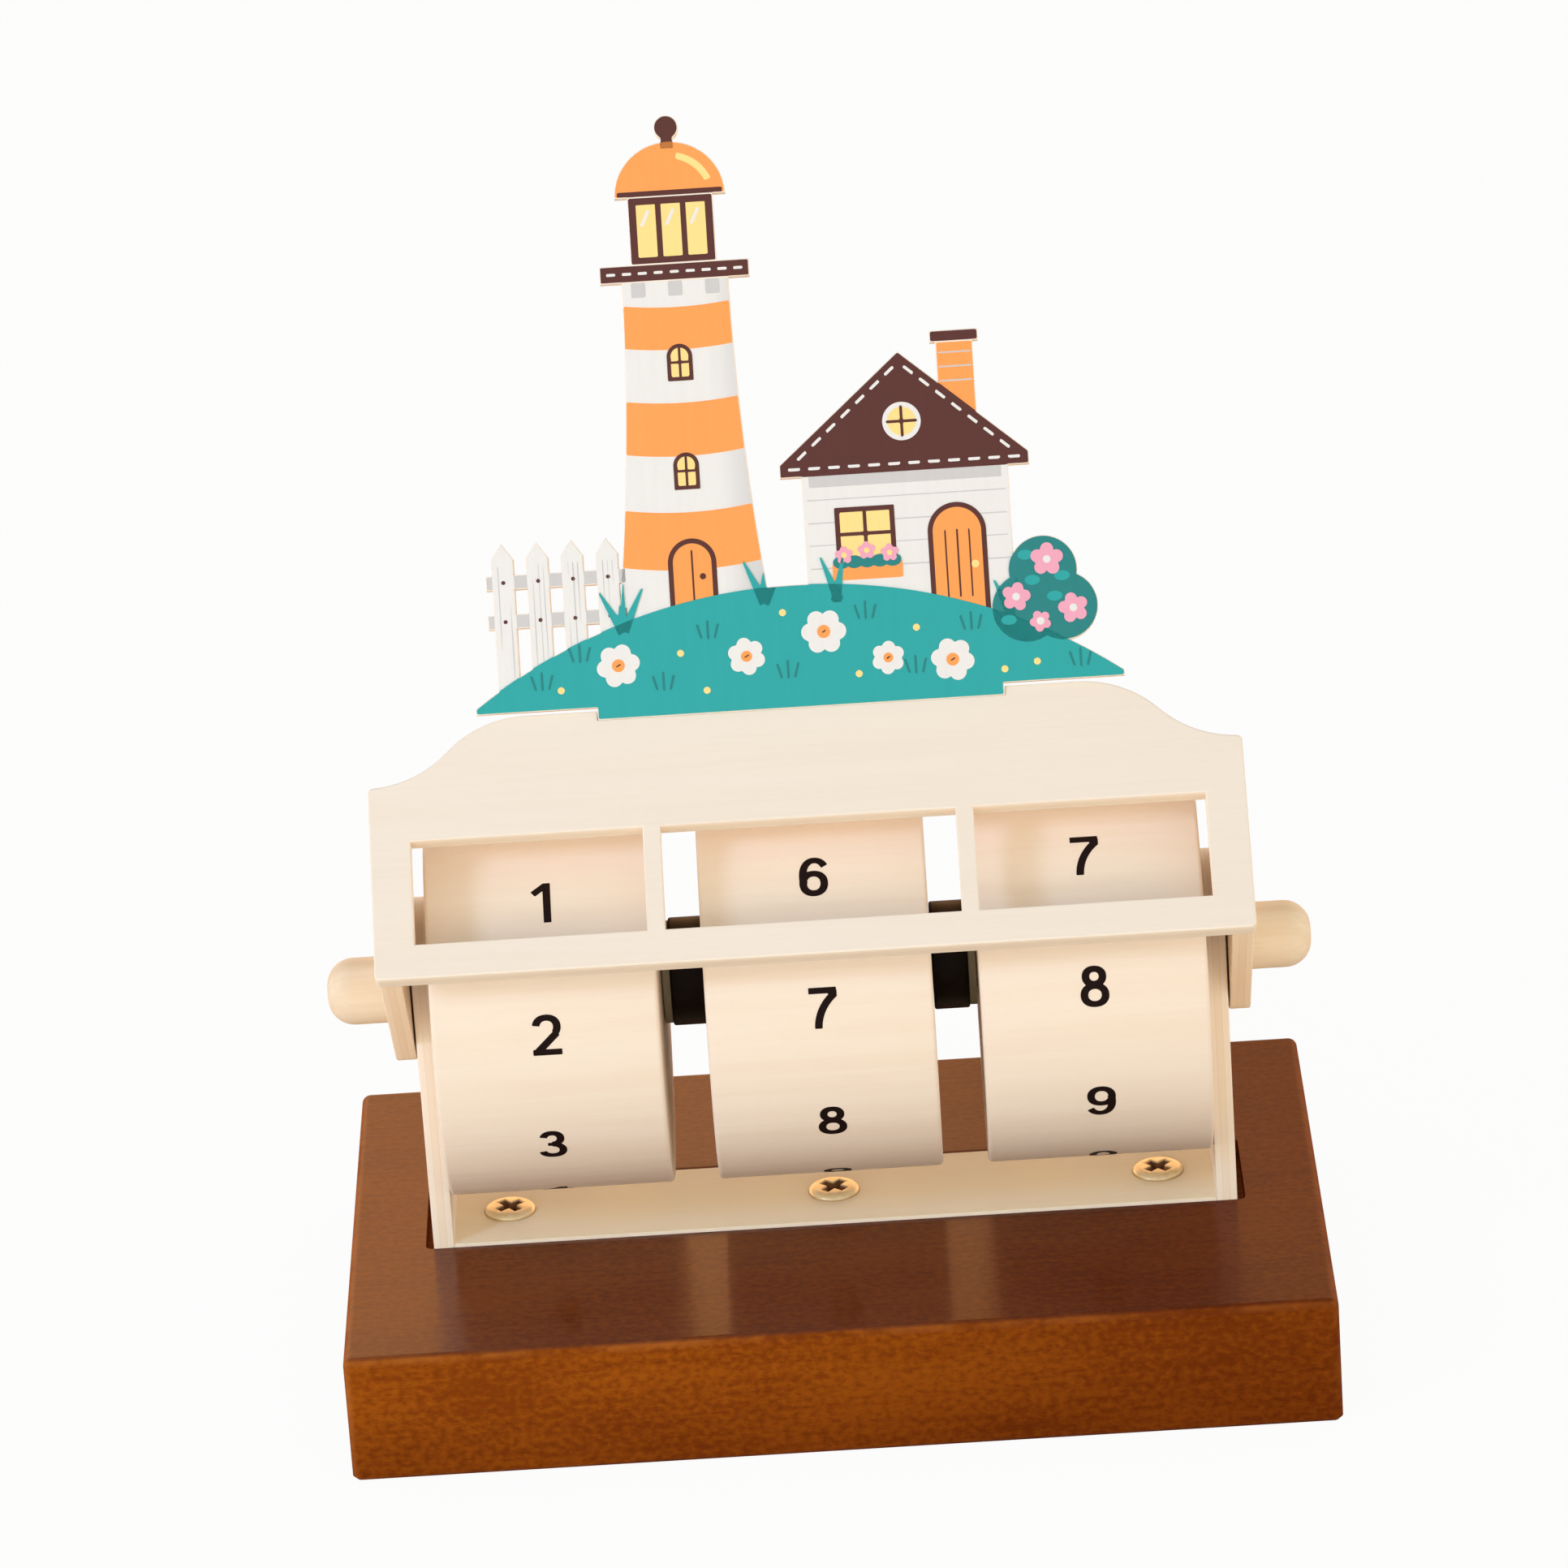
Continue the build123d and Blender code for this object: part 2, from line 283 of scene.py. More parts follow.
def pale_grain(finish, point, wood, strength):
    """Colour and height of close, pale wood with its grain along the point's x."""
    broad = finish.noise(point, (0.012, 0.16, 0.16))
    fine = finish.noise(point, (0.04, 1.5, 1.5), 4)
    fleck = finish.noise(point, (0.3, 4.5, 4.5), 2).rise(0.6, 0.74)
    tone = (broad * 0.6 + fine * 0.4).rise(0.36, 0.66)
    grain = finish.mix(tone * strength, wood, tinted(wood, 0.93, 0.87, 0.8))
    grain = finish.mix(fleck * (0.3 * strength), grain, tinted(wood, 0.8, 0.68, 0.54))
    return grain, fine * 0.7 + fleck * -0.3


def sheet_frame(origin, along, normal):
    """The frame of a flat sheet: x along its grain and z out of its front face."""
    across = normal.cross(along)
    rotation = Matrix((along, across, normal)).transposed().to_4x4()
    return Matrix.Translation(origin) @ rotation


def plywood(name, matrix, thickness, face, cut_edge):
    """Pale veneer on both faces of a sheet, with the stripes of its layers on the cut edges."""
    half, layer = thickness / 2, thickness / 6
    blur, glue_line, bevel = 0.06, 0.1, 0.14      # all in millimetres
    finish = Finish(name, Specular_IOR_Level=BARE_WOOD)
    point = finish.place(matrix)
    veneer, height = pale_grain(finish, point, face, 0.22)
    from_middle = abs(finish.xyz(point)[2] + half)
    core = 1 - from_middle.rise(layer - blur, layer + blur)
    glue = 1 - abs(from_middle - layer).rise(0.02, glue_line)
    rough = finish.noise(point, (0.5, 0.5, 6.0))
    edge = finish.mix(core * 0.35 + rough * 0.3, cut_edge, tinted(cut_edge, 0.92, 0.84, 0.74))
    edge = finish.mix(glue * 0.22, edge, tinted(cut_edge, 0.7, 0.56, 0.42))
    cut = 1 - from_middle.rise(half - bevel, half - 0.02)
    height = height * (1 - cut) + rough * cut
    return finish.cover(finish.mix(cut, veneer, edge), 0.46 + cut * 0.2, height, 0.02)


def stained_hardwood(colours, sizes):
    """Brown stain over fine, close grain: satin on the sides, lacquered on top, rubbed along the edges, with
    painted highlights on the edges and painted shade on the top, to the foot and to the right.
    """
    finish = Finish("stained_hardwood", Coat_Roughness=0.16, Specular_IOR_Level=0.04)
    point = finish.place()
    x, y, z = finish.xyz(point)
    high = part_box("base_block")[1] / MM

    # stain, darker in the pores
    cloud = finish.noise(point, (0.03, 0.07, 0.07))
    mottle = finish.noise(point, (0.8, 1.1, 1.1), 5)
    streak = finish.noise(point, (0.05, 0.9, 0.9), 4)
    pore = finish.noise(point, (0.8, 4.5, 4.5), 2).rise(0.55, 0.72)
    tone = (cloud * 0.3 + mottle * 0.5 + streak * 0.2).rise(0.38, 0.62)
    wood = finish.mix(tone, colours.stain_dark, colours.stain)
    wood = finish.mix(pore * 0.3, wood, tinted(colours.stain_dark, 0.55, 0.5, 0.45))

    # edges, rubbed thin here and there, in a colour that is also a painted highlight where the rounded edges
    # catch the light
    reach = sizes.base_ease / MM
    near = [side.rise(-reach, 0.0) for side in (abs(x) - high.x, abs(y) - high.y, z - high.z)]
    rubbed = near[0] * near[1] + (near[0] + near[1]) * near[2]
    wear = finish.even_noise(point, 0.12).rise(0.3, 0.6)
    wood = finish.mix(rubbed * wear * 0.7, wood, colours.edge_wear_and_highlight)

    # painted shade: darker to the foot, to the right and on the lacquered top, with a dull painted shadow
    # line behind the floor strip
    top_lacquer_and_shade = (z - high.z).rise(-0.4, -0.05)
    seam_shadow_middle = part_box("floor_strip")[1].y / MM + 0.9
    seam_shadow_end = 55.0
    # a painted shadow line along the back of the floor strip, where the wood is also duller
    behind = 1 - abs(y - seam_shadow_middle).rise(0.5, 1.1)
    seam_shadow = top_lacquer_and_shade * behind * (1 - (abs(x) - seam_shadow_end).rise(0.0, 1.0))
    light = (1 - top_lacquer_and_shade * 0.77) * (0.55 + z.rise(0.0, 15.0) * 0.45) * (1 - x.rise(-50.0, 70.0) * 0.5)
    # a darker copy of the wood, mixed in for the painted shade
    shaded_wood = finish.vector("MULTIPLY", wood, (0.35, 0.22, 0.15))
    wood = finish.mix(1 - light * (1 - seam_shadow), wood, shaded_wood)
    gloss = top_lacquer_and_shade * (1 - seam_shadow) * (0.5 - x.rise(-20.0, 70.0) * 0.38)
    return finish.cover(wood, 0.5 - top_lacquer_and_shade * 0.1, streak * 0.4 - pore * 0.6, 0.006, gloss)


def turned_wood(name, wood, pith, strength):
    """Pale wood turned on a lathe, with faint yearly rings about its pith."""
    finish = Finish(name, Specular_IOR_Level=BARE_WOOD)
    point = finish.place()
    grain, height = pale_grain(finish, point, wood, strength)
    across = finish.vector("MULTIPLY", finish.vector("SUBTRACT", point, pith), (0.0, 1.0, 1.0))
    radius = finish.node("VectorMath", {"operation": "LENGTH"}, {0: across}, output="Value")
    waver = finish.noise(point, (0.02, 0.1, 0.1))
    ring = finish.math("SINE", radius * 1.5 + waver * 9).rise(-0.2, 1.0)
    ringed = finish.mix(ring * (0.3 * strength), grain, tinted(wood, 0.88, 0.78, 0.66))
    return finish.cover(ringed, 0.48 + ring * 0.08, height, 0.012)


def smooth_finish(name, base_colour, roughness, speckle, depth, **surface):
    """An even moulded or printed surface with a fine speckle."""
    finish = Finish(name, **surface)
    point = finish.place()
    grit = finish.even_noise(point, 2.2, 4)
    smear = finish.even_noise(point, 0.3, 2)
    tone = (grit * 0.5 + smear * 0.5).rise(0.35, 0.65) * speckle
    return finish.cover(finish.mix(tone, base_colour, tinted(base_colour, 0.6, 0.6, 0.6)),
                        roughness + smear * 0.12 - 0.06, grit, depth)


def brass_finish(name, colours, centre, cross, level):
    """Bright plated brass, with painted shade in the cross recess and a painted shadow round the head's rim.

    The cross reaches so far from the centre, and the metal is bright above a level and has painted shade
    below it, in millimetres."""
    finish = Finish(name, Metallic=0.45)
    point = finish.place()
    x, y, z = finish.xyz(point)
    aside = finish.math("SQRT", (x - centre.x) * (x - centre.x) + (y - centre.y) * (y - centre.y))
    # painted shade: the cross recess is painted nearly black
    recess_shade = (1 - (z - level).rise(-0.3, 0.0)) * (1 - aside.rise(cross - 0.2, cross + 0.2))
    cloud = finish.even_noise(point, 0.9, 4)
    metal = finish.mix(cloud.rise(0.4, 0.7) * 0.35, colours.brass, tinted(colours.brass, 0.75, 0.66, 0.5))
    # painted shadow: a dark ring round the head's rim
    rim = (1 - (z - level).rise(-0.75, -0.35)) * aside.rise(cross + 0.9, cross + 1.1)
    metal = finish.mix(rim * 0.75, metal, tinted(colours.brass, 0.4, 0.24, 0.08))
    metal = finish.mix(recess_shade * 0.92, metal, tinted(colours.brass, 0.15, 0.05, 0.02))
    return finish.cover(metal, 0.26 + cloud * 0.15, cloud, 0.01)


def paint_finish(name, matrix, paint, shade=None, middle=0.0, reach=1.0):
    """Matt print with a trace of the wood's grain. A shade darkens its right side, as on a round wall."""
    finish = Finish(name)
    point = finish.place(matrix)
    grain = finish.noise(point, (0.9, 0.09, 1.0), 4)
    grit = finish.even_noise(point, 2.6)
    tone = (grain * 0.6 + grit * 0.4).rise(0.4, 0.7)
    painted = finish.mix(tone * 0.16, paint, tinted(paint, 0.8, 0.8, 0.8))
    if shade is not None:
        aside = finish.xyz(point)[0] - middle
        turned_away = abs(aside).rise(reach * 0.35, reach) * aside.rise(-reach * 0.2, reach * 0.6)
        painted = finish.mix(turned_away * 0.8, painted, shade)
    return finish.cover(painted, 0.55 + grain * 0.1, grain * 0.6 + grit * 0.4, 0.012)


def dress(node, finish):
    """Gives a finish to a CAD node that stays as it is."""
    for slot in frame["nodes"][node].material_slots:
        slot.material = finish.material


def add_object(name, data):
    thing = bpy.data.objects.new(name, data)
    bpy.context.scene.collection.objects.link(thing)
    return thing


def new_piece(name, mesh, finish, node, replaces=True):
    """Adds a mesh with its finish, which rides with a CAD node's body and may stand for it."""
    mesh.materials.append(finish.material)
    piece = add_object(name, mesh)
    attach(piece, frame["nodes"][node]["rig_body"])
    if replaces:
        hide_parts(node)
    return piece


def mesh_of(name, built):
    """Turns a bmesh into a mesh, and frees it."""
    mesh = bpy.data.meshes.new(name)
    built.to_mesh(mesh)
    built.free()
    return mesh


def smoothed(mesh):
    """Shades a mesh smooth, apart from its sharp edges."""
    mesh.shade_smooth()
    mesh.set_sharp_from_angle(angle=SHARP)
    return mesh


def mesh_from(name, points, faces):
    """A mesh of points and faces, with doubled points joined and all faces looking out."""
    rough = bpy.data.meshes.new("rough")
    rough.from_pydata([Vector(point) for point in points], [], faces)
    built = bmesh.new()
    built.from_mesh(rough)
    bpy.data.meshes.remove(rough)
    bmesh.ops.remove_doubles(built, verts=built.verts, dist=SAME_POINT)
    bmesh.ops.recalc_face_normals(built, faces=built.faces)
    return smoothed(mesh_of(name, built))


def bands(rows):
    """The four-sided faces between neighbouring rings of points, which are given by their numbers."""
    faces = []
    for here, below in zip(rows, rows[1:]):
        for i, k in zip(range(len(here)), [*range(1, len(here)), 0]):
            faces.append((here[i], below[i], below[k], here[k]))
    return faces


def rings(start, count, size):
    """The numbers of the points in so many rings of one size."""
    return [range(start + size * i, start + size * (i + 1)) for i in range(count)]


def outline_loops(mesh, normal):
    """The closed outlines of a sheet's face that looks along a normal, each with the wood on its left."""
    reach = max(v.co.dot(normal) for v in mesh.verts)
    onward = {}
    flat = [face for face in mesh.faces
            if face.normal.dot(normal) > 0.999 and abs(face.verts[0].co.dot(normal) - reach) < FLAT]
    front = set(flat)
    for face in flat:
        for corner in face.loops:
            if any(other not in front for other in corner.edge.link_faces):
                onward[corner.vert] = corner.link_loop_next.vert
    loops = []
    while onward:
        loop = [next(iter(onward))]
        while loop[-1] in onward:
            loop.append(onward.pop(loop[-1]))
        loops.append(loop[:-1])
    return loops


def partner(vert, far, normal):
    """The far face's end of the wall edge that starts at a corner of the near face."""
    ends = [edge.other_vert(vert) for edge in vert.link_edges]
    return min((end for end in ends if end in far), key=lambda end: (end.co - vert.co).cross(normal).length)


def inset(points, normal):
    """For each corner of an outline, the step that moves both its sides in by one unit."""
    steps = []
    for before, here, after in zip(points[-1:] + points[:-1], points, points[1:] + points[:1]):
        first, second = [normal.cross(side).normalized() for side in (here - before, after - here)]
        steps.append((first + second) / (1 + first.dot(second)))
    return steps


def sheet_mesh(name, node, normal, width, steps=4):
    """A copy of a CAD sheet with its edges rounded over by a small width."""
    cad = bmesh.new()
    cad.from_mesh(frame["nodes"][node].data)
    bmesh.ops.remove_doubles(cad, verts=cad.verts, dist=2 * SAME_POINT)
    cad.normal_update()
    far = {vert for loop in outline_loops(cad, -normal) for vert in loop}
    points, walls, fronts, backs = [], [], [], []
    turns = [math.pi / 2 * i / (steps - 1) for i in range(steps)]
    for loop in outline_loops(cad, normal):
        front = [vert.co.copy() for vert in loop]
        back = [partner(vert, far, normal).co.copy() for vert in loop]
        moves = inset(front, normal)
        rows = rings(len(points), 2 * steps, len(loop))
        for near, other, order in ((front, back, turns), (back, front, turns[::-1])):
            for turn in order:
                for a, b, move in zip(near, other, moves):
                    down = (b - a).normalized() * (1 - math.cos(turn))
                    points.append(a + (down + move * (1 - math.sin(turn))) * width)
        walls += bands(rows)
        fronts.append(rows[0])
        backs.append(rows[-1])
    cad.free()
    covers = []
    for outlines in (fronts, backs):
        order = [index for outline in outlines for index in outline]
        flat = [[points[index] for index in outline] for outline in outlines]
        covers += [[order[corner] for corner in triangle] for triangle in tessellate_polygon(flat)]
    mesh = mesh_from(name, points, walls + covers)
    for face in mesh.polygons[len(walls):]:
        face.use_smooth = False
    return mesh


def corner_arc(x, radius, rounding, start, end, steps=6):
    """Points (x, radius) on an arc about such a point, from a start to an end angle in degrees."""
    turns = np.radians(np.linspace(start, end, steps))
    return [(x + rounding * math.cos(turn), radius + rounding * math.sin(turn)) for turn in turns]


def lathe(name, profile, steps=144, closed=True):
    """A mesh of (x, radius) points turned about the axle. An open profile starts and ends on its line."""
    points, faces = [], []
    count = len(profile)
    for i in range(steps):
        turn = 2 * math.pi * i / steps
        points += [(x, -r * math.cos(turn) + axle.y, r * math.sin(turn) + axle.z) for x, r in profile]
        near, far = i * count, (i + 1) % steps * count
        for j in range(count if closed else count - 1):
            k = (j + 1) % count
            faces.append((near + j, near + k, far + k, far + j))
    return mesh_from(name, points, faces)


def ring_profile(node, rim, bore_rim):
    """The profile of a bored disc with rounded rims, as large as a CAD node."""
    low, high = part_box(node)
    radii = [math.hypot(v.co.y - axle.y, v.co.z - axle.z) for v in frame["nodes"][node].data.vertices]
    inner, outer = min(radii), max(radii)
    return (corner_arc(low.x + bore_rim, inner + bore_rim, bore_rim, 180, 270)
            + corner_arc(high.x - bore_rim, inner + bore_rim, bore_rim, 270, 360)
            + corner_arc(high.x - rim, outer - rim, rim, 0, 90)
            + corner_arc(low.x + rim, outer - rim, rim, 90, 180))


# --- flat shapes --------------------------------------------------------------
class Shape:
    """A flat shape as a field that is negative inside it: | joins, & keeps what is shared, - cuts."""

    def __init__(self, field):
        self.field = field

    def __or__(self, other):
        return Shape(lambda x, y: np.minimum(self.field(x, y), other.field(x, y)))

    def __and__(self, other):
        return Shape(lambda x, y: np.maximum(self.field(x, y), other.field(x, y)))

    def __sub__(self, other):
        return Shape(lambda x, y: np.maximum(self.field(x, y), -other.field(x, y)))

    def grown(self, amount):
        return Shape(lambda x, y: self.field(x, y) - amount)

    def moved(self, right, up):
        return Shape(lambda x, y: self.field(x - right, y - up))

    def turned(self, degrees):
        cos, sin = math.cos(math.radians(degrees)), math.sin(math.radians(degrees))
        return Shape(lambda x, y: self.field(x * cos + y * sin, y * cos - x * sin))


def oval(x0, y0, half_width, half_height, fullness=2.0):
    """An ellipse, or a fuller one, about a centre."""
    size = min(half_width, half_height)

    def field(x, y):
        across, up = np.abs((x - x0) / half_width), np.abs((y - y0) / half_height)
        return ((across ** fullness + up ** fullness) ** (1 / fullness) - 1) * size
    return Shape(field)


def disc(x0, y0, radius):
    return oval(x0, y0, radius, radius)


def discs(places, radius):
    return union(disc(x, y, radius) for x, y in places)


def bar(x0, y0, x1, y1, stroke):
    """A straight stroke with square ends."""
    reach = math.hypot(x1 - x0, y1 - y0)
    cos, sin = (x1 - x0) / reach, (y1 - y0) / reach

    def field(x, y):
        along = (x - x0) * cos + (y - y0) * sin
        across = np.abs((y - y0) * cos - (x - x0) * sin)
        return np.maximum(np.abs(along - reach / 2) - reach / 2, across - stroke / 2)
    return Shape(field)


def block(left, bottom, right, top):
    middle = (left + right) / 2
    return bar(middle, bottom, middle, top, right - left)


def centred(x0, width, bottom, top):
    return block(x0 - width / 2, bottom, x0 + width / 2, top)


def posts(places, bottom, top, stroke):
    """Upright strokes, side by side."""
    return union(bar(x, bottom, x, top, stroke) for x in places)


def lines(left, right, levels, stroke):
    """Level strokes, one above another."""
    return union(bar(left, level, right, level, stroke) for level in levels)


def between(low, high):
    """Everything from one level up to another."""
    return Shape(lambda x, y: np.maximum(low - y, y - high))


def wedge(x0, y0, start, end):
    """What lies between two rays from a point, less than half a turn apart."""
    rays = [(math.cos(math.radians(turn)), math.sin(math.radians(turn))) for turn in (start, end)]

    def field(x, y):
        first, second = [cos * (y - y0) - sin * (x - x0) for cos, sin in rays]
        return np.maximum(-first, second)
    return Shape(field)


def polygon(*corners):
    """A convex polygon, its corners anticlockwise."""
    def field(x, y):
        sides = []
        for (x0, y0), (x1, y1) in zip(corners, corners[1:] + corners[:1]):
            reach = math.hypot(x1 - x0, y1 - y0)
            sides.append(((x - x0) * (y1 - y0) - (y - y0) * (x1 - x0)) / reach)
        return np.maximum.reduce(sides)
    return Shape(field)


def union(shapes):
    shapes = list(shapes)
    return Shape(lambda x, y: np.minimum.reduce([shape.field(x, y) for shape in shapes]))


def slab(shape, box, cell, place):
    """A thin slab of a shape as a bmesh, found on a grid and cut along the shape's edge.

    place(x, y, top) says where a point of the slab's top or foot goes."""
    left, bottom, right, top = box
    xs = left + cell * np.arange(math.ceil((right - left) / cell) + 1)
    ys = bottom + cell * np.arange(math.ceil((top - bottom) / cell) + 1)
    field = shape.field(*np.meshgrid(xs, ys, indexing="ij"))
    known, flat, faces = {}, [], []

    def corner(a, b):
        """The number of the point where the shape's edge crosses from a to b, or of a itself."""
        key = (min(a, b), max(a, b))
        if key not in known:
            share = 0.0 if a == b else min(max(field[a] / (field[a] - field[b]), 0.02), 0.98)
            known[key] = len(flat)
            flat.append((xs[a[0]] + (xs[b[0]] - xs[a[0]]) * share, ys[a[1]] + (ys[b[1]] - ys[a[1]]) * share))
        return known[key]

    inside = field < 0
    touched = inside[:-1, :-1] | inside[1:, :-1] | inside[1:, 1:] | inside[:-1, 1:]
    for i, j in zip(*(indices.tolist() for indices in np.nonzero(touched))):
        ring = [(i, j), (i + 1, j), (i + 1, j + 1), (i, j + 1)]
        face = []
        for a, b in zip(ring, ring[1:] + ring[:1]):
            if inside[a]:
                face.append(corner(a, a))
            if inside[a] != inside[b]:
                face.append(corner(a, b))
        faces.append(face)
    edges = {(a, b) for face in faces for a, b in zip(face, face[1:] + face[:1])}
    built = bmesh.new()
    tops = [built.verts.new(place(x, y, True)) for x, y in flat]
    feet = [built.verts.new(place(x, y, False)) for x, y in flat]
    for face in faces:
        built.faces.new([tops[index] for index in face])
    for face in faces:
        built.faces.new([feet[index] for index in reversed(face)])
    for a, b in edges:
        if (b, a) not in edges:
            built.faces.new((tops[b], tops[a], feet[a], feet[b]))
    return built


def gather(mesh, built):
    """Adds one bmesh to another, and frees the first."""
    scratch = mesh_of("scratch", built)
    mesh.from_mesh(scratch)
    bpy.data.meshes.remove(scratch)


# --- numerals -----------------------------------------------------------------
TENTH_TURN = math.radians(36)     # from one numeral to the next on a drum
STROKE = 0.165                    # of a numeral one unit tall
THIN = STROKE * 0.9               # its level strokes
FULLNESS = 2.2                    # of its round strokes, where 2 is an ellipse
PAGE = (-0.42, -0.06, 0.42, 1.06) # left, bottom, right and top of the grid that finds its edge
PAGE_CELL = 0.024                 # of that grid
# how far each drum's print has slipped to the right and how far it swings in a turn, in millimetres
PRINT_DRIFT = {"left": (0.15, -0.94), "middle": (0.47, 0.43), "right": (0.0, 0.34)}


def hoop(x0, y0, half_width, half_height):
    """A numeral's round stroke, a little thinner at its top and bottom than at its sides."""
    inside = oval(x0, y0, half_width - STROKE, half_height - THIN, FULLNESS)
    return oval(x0, y0, half_width, half_height, FULLNESS) - inside


def numerals():
    """The ten numerals, one unit tall, about x = 0."""
    zero = hoop(0.0, 0.5, 0.31, 0.5)
    one = block(0.0, 0.0, STROKE, 1.0) | bar(0.1, 0.975, -0.215, 0.725, THIN) & block(-0.5, 0, STROKE, 1.0)
    two = (hoop(0.0, 0.70, 0.31, 0.30) - wedge(0.0, 0.70, 172, 318)
           | bar(0.215, 0.545, -0.235, 0.07, STROKE) & block(-1, 0, 1, 1)
           | block(-0.32, 0.0, 0.31, THIN))
    three = (hoop(0.0, 0.735, 0.27, 0.265) - wedge(0.0, 0.735, 168, 268)
             | hoop(0.0, 0.29, 0.305, 0.29) - wedge(0.0, 0.29, 92, 192)
             | block(-0.1, 0.465, 0.02, 0.575))
    four = (block(0.06, 0.0, 0.06 + STROKE, 1.0)
            | block(-0.33, 0.23, 0.33, 0.23 + THIN)
            | bar(0.15, 0.995, -0.30, 0.265, STROKE) & block(-0.33, 0.23, 0.1, 1.0))
    five = (block(-0.21, 1 - THIN, 0.27, 1.0)
            | bar(-0.155, 1.0, -0.235, 0.47, STROKE * 0.95) & block(-0.5, 0.47, 0.5, 1.0)
            | hoop(0.0, 0.335, 0.31, 0.335) - wedge(0.0, 0.335, 142, 194))
    spine = hoop(0.03, 0.5, 0.34, 0.5) - block(-1, -1, 1, 0.33) - wedge(0.03, 0.62, -75, 33)
    six = hoop(0.0, 0.325, 0.31, 0.325) | spine
    leg = 1.2
    leg_centre = leg - 0.12 - STROKE / 2
    curve = disc(leg_centre, 0.0, leg) - disc(leg_centre, 0.0, leg - STROKE)
    seven = block(-0.3, 1 - THIN, 0.3, 1.0) | curve & block(-0.3, 0.0, 0.31, 0.94)
    eight = hoop(0.0, 0.745, 0.265, 0.255) | hoop(0.0, 0.295, 0.31, 0.295)
    nine = Shape(lambda x, y: six.field(-x, 1 - y))
    return [zero, one, two, three, four, five, six, seven, eight, nine]


def on_drum(node, level, drift, sizes):
    """Says where a numeral's points go on a drum: level is its angle, drift its place from the middle."""
    low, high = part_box(node)
    radius = (high.z - low.z) / 2
    middle = (low.x + high.x) / 2

    def place(x, y, top):
        reach = radius + (sizes.ink_thickness if top else -sizes.ink_thickness)
        up = level + (y - 0.5) * sizes.numeral_height / radius
        right = middle + drift * MM + x * sizes.numeral_height * sizes.numeral_breadth
        return right, axle.y - reach * math.cos(up), axle.z + reach * math.sin(up)
    return place


class DAYCOUNTER_OT_numerals(bpy.types.Operator):
    """Print the numerals 0 to 9 round each drum"""

    bl_idname = "daycounter.numerals"
    bl_label = "Numerals"

    def execute(self, context):
        sizes = context.scene.day_counter_sizes
        ink = context.scene.day_counter_colours.ink
        finish = smooth_finish("printed_ink", ink, roughness=0.6, speckle=0.3, depth=0.004,
                               Specular_IOR_Level=0.05)
        shapes = numerals()
        for side in SIDES:
            shift, swing = PRINT_DRIFT[side]
            number = getattr(sizes, side + "_number")
            mesh = bmesh.new()
            for numeral, shape in enumerate(shapes):
                level = getattr(sizes, side + "_turn") - TENTH_TURN * (numeral - number)
                drift = shift + swing * math.sin(TENTH_TURN * (numeral - number - 1))
                gather(mesh, slab(shape, PAGE, PAGE_CELL, on_drum("drum_" + side, level, drift, sizes)))
            name = "numerals_" + side
            new_piece(name, smoothed(mesh_of(name, mesh)), finish, "drum_" + side, replaces=False)
        return {"FINISHED"}


# --- wooden pieces ------------------------------------------------------------
class DAYCOUNTER_OT_base(bpy.types.Operator):
    """Finish the stained base block"""

    bl_idname = "daycounter.base"
    bl_label = "Base"

    def execute(self, context):
        scene = context.scene
        dress("base_block", stained_hardwood(scene.day_counter_colours, scene.day_counter_sizes))
        return {"FINISHED"}


def front_frame(node):
    """The frame of a leaning sheet's front face, at the middle of its lowest edge."""
    mesh = frame["nodes"][node].data
    largest = max(mesh.polygons, key=lambda face: face.area)
    normal = largest.normal.copy() * (1 if largest.normal.y < 0 else -1)
    up = normal.cross(RIGHTWARDS)
    reach = max(v.co.dot(normal) for v in mesh.vertices)
    foot = min(v.co.dot(up) for v in mesh.vertices if v.co.dot(normal) > reach - FLAT)
    return sheet_frame(normal * reach + up * foot, RIGHTWARDS, normal)


def sheet_thickness():
    """The thickness of the plywood, in millimetres."""
    low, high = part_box("arm_left")
    return (high.x - low.x) / MM


def side_plates(kind, level, grain, ease, *woods):
    """Finishes the left and the right plate of a kind. The frame of its wood stands at a level."""
    for side, outward in (("left", -1), ("right", 1)):
        node = f"{kind}_{side}"
        low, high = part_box(node)
        normal = Vector((outward, 0, 0))
        outside = (high if outward > 0 else low).x
        wood_frame = sheet_frame(Vector((outside, 0, level)), grain, normal)
        finish = plywood(node + "_plywood", wood_frame, (high.x - low.x) / MM, *woods)
        new_piece(f"{side}_{kind}", sheet_mesh(node, node, normal, ease), finish, node)


class DAYCOUNTER_OT_frame(bpy.types.Operator):
    """Finish the floor strip and the uprights"""

    bl_idname = "daycounter.frame"
    bl_label = "Frame"

    def execute(self, context):
        colours = context.scene.day_counter_colours
        low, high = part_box("floor_strip")
        strip_frame = sheet_frame(Vector((0, 0, high.z)), RIGHTWARDS, UPWARDS)
        finish = plywood("strip_plywood", strip_frame, (high.z - low.z) / MM, colours.strip, colours.layers)
        dress("floor_strip", finish)
        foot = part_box("upright_left")[0].z
        ease = context.scene.day_counter_sizes.sheet_ease
        side_plates("upright", foot, UPWARDS, ease, colours.veneer, colours.layers)
        return {"FINISHED"}


class DAYCOUNTER_OT_hood(bpy.types.Operator):
    """Finish the windowed hood and its arms"""

    bl_idname = "daycounter.hood"
    bl_label = "Hood"

    def execute(self, context):
        colours = context.scene.day_counter_colours
        ease = context.scene.day_counter_sizes.sheet_ease
        panel_frame = front_frame("hood_panel")
        out = panel_frame.to_3x3().col[2]
        finish = plywood("panel_plywood", panel_frame, sheet_thickness(), colours.veneer, colours.layers)
        new_piece("hood", sheet_mesh("hood", "hood_panel", out, ease), finish, "hood_panel")
        # the arms take the warmer colour, painted shade for their place under the hood
        side_plates("arm", axle.z, out, ease, colours.arm, colours.arm)
        return {"FINISHED"}


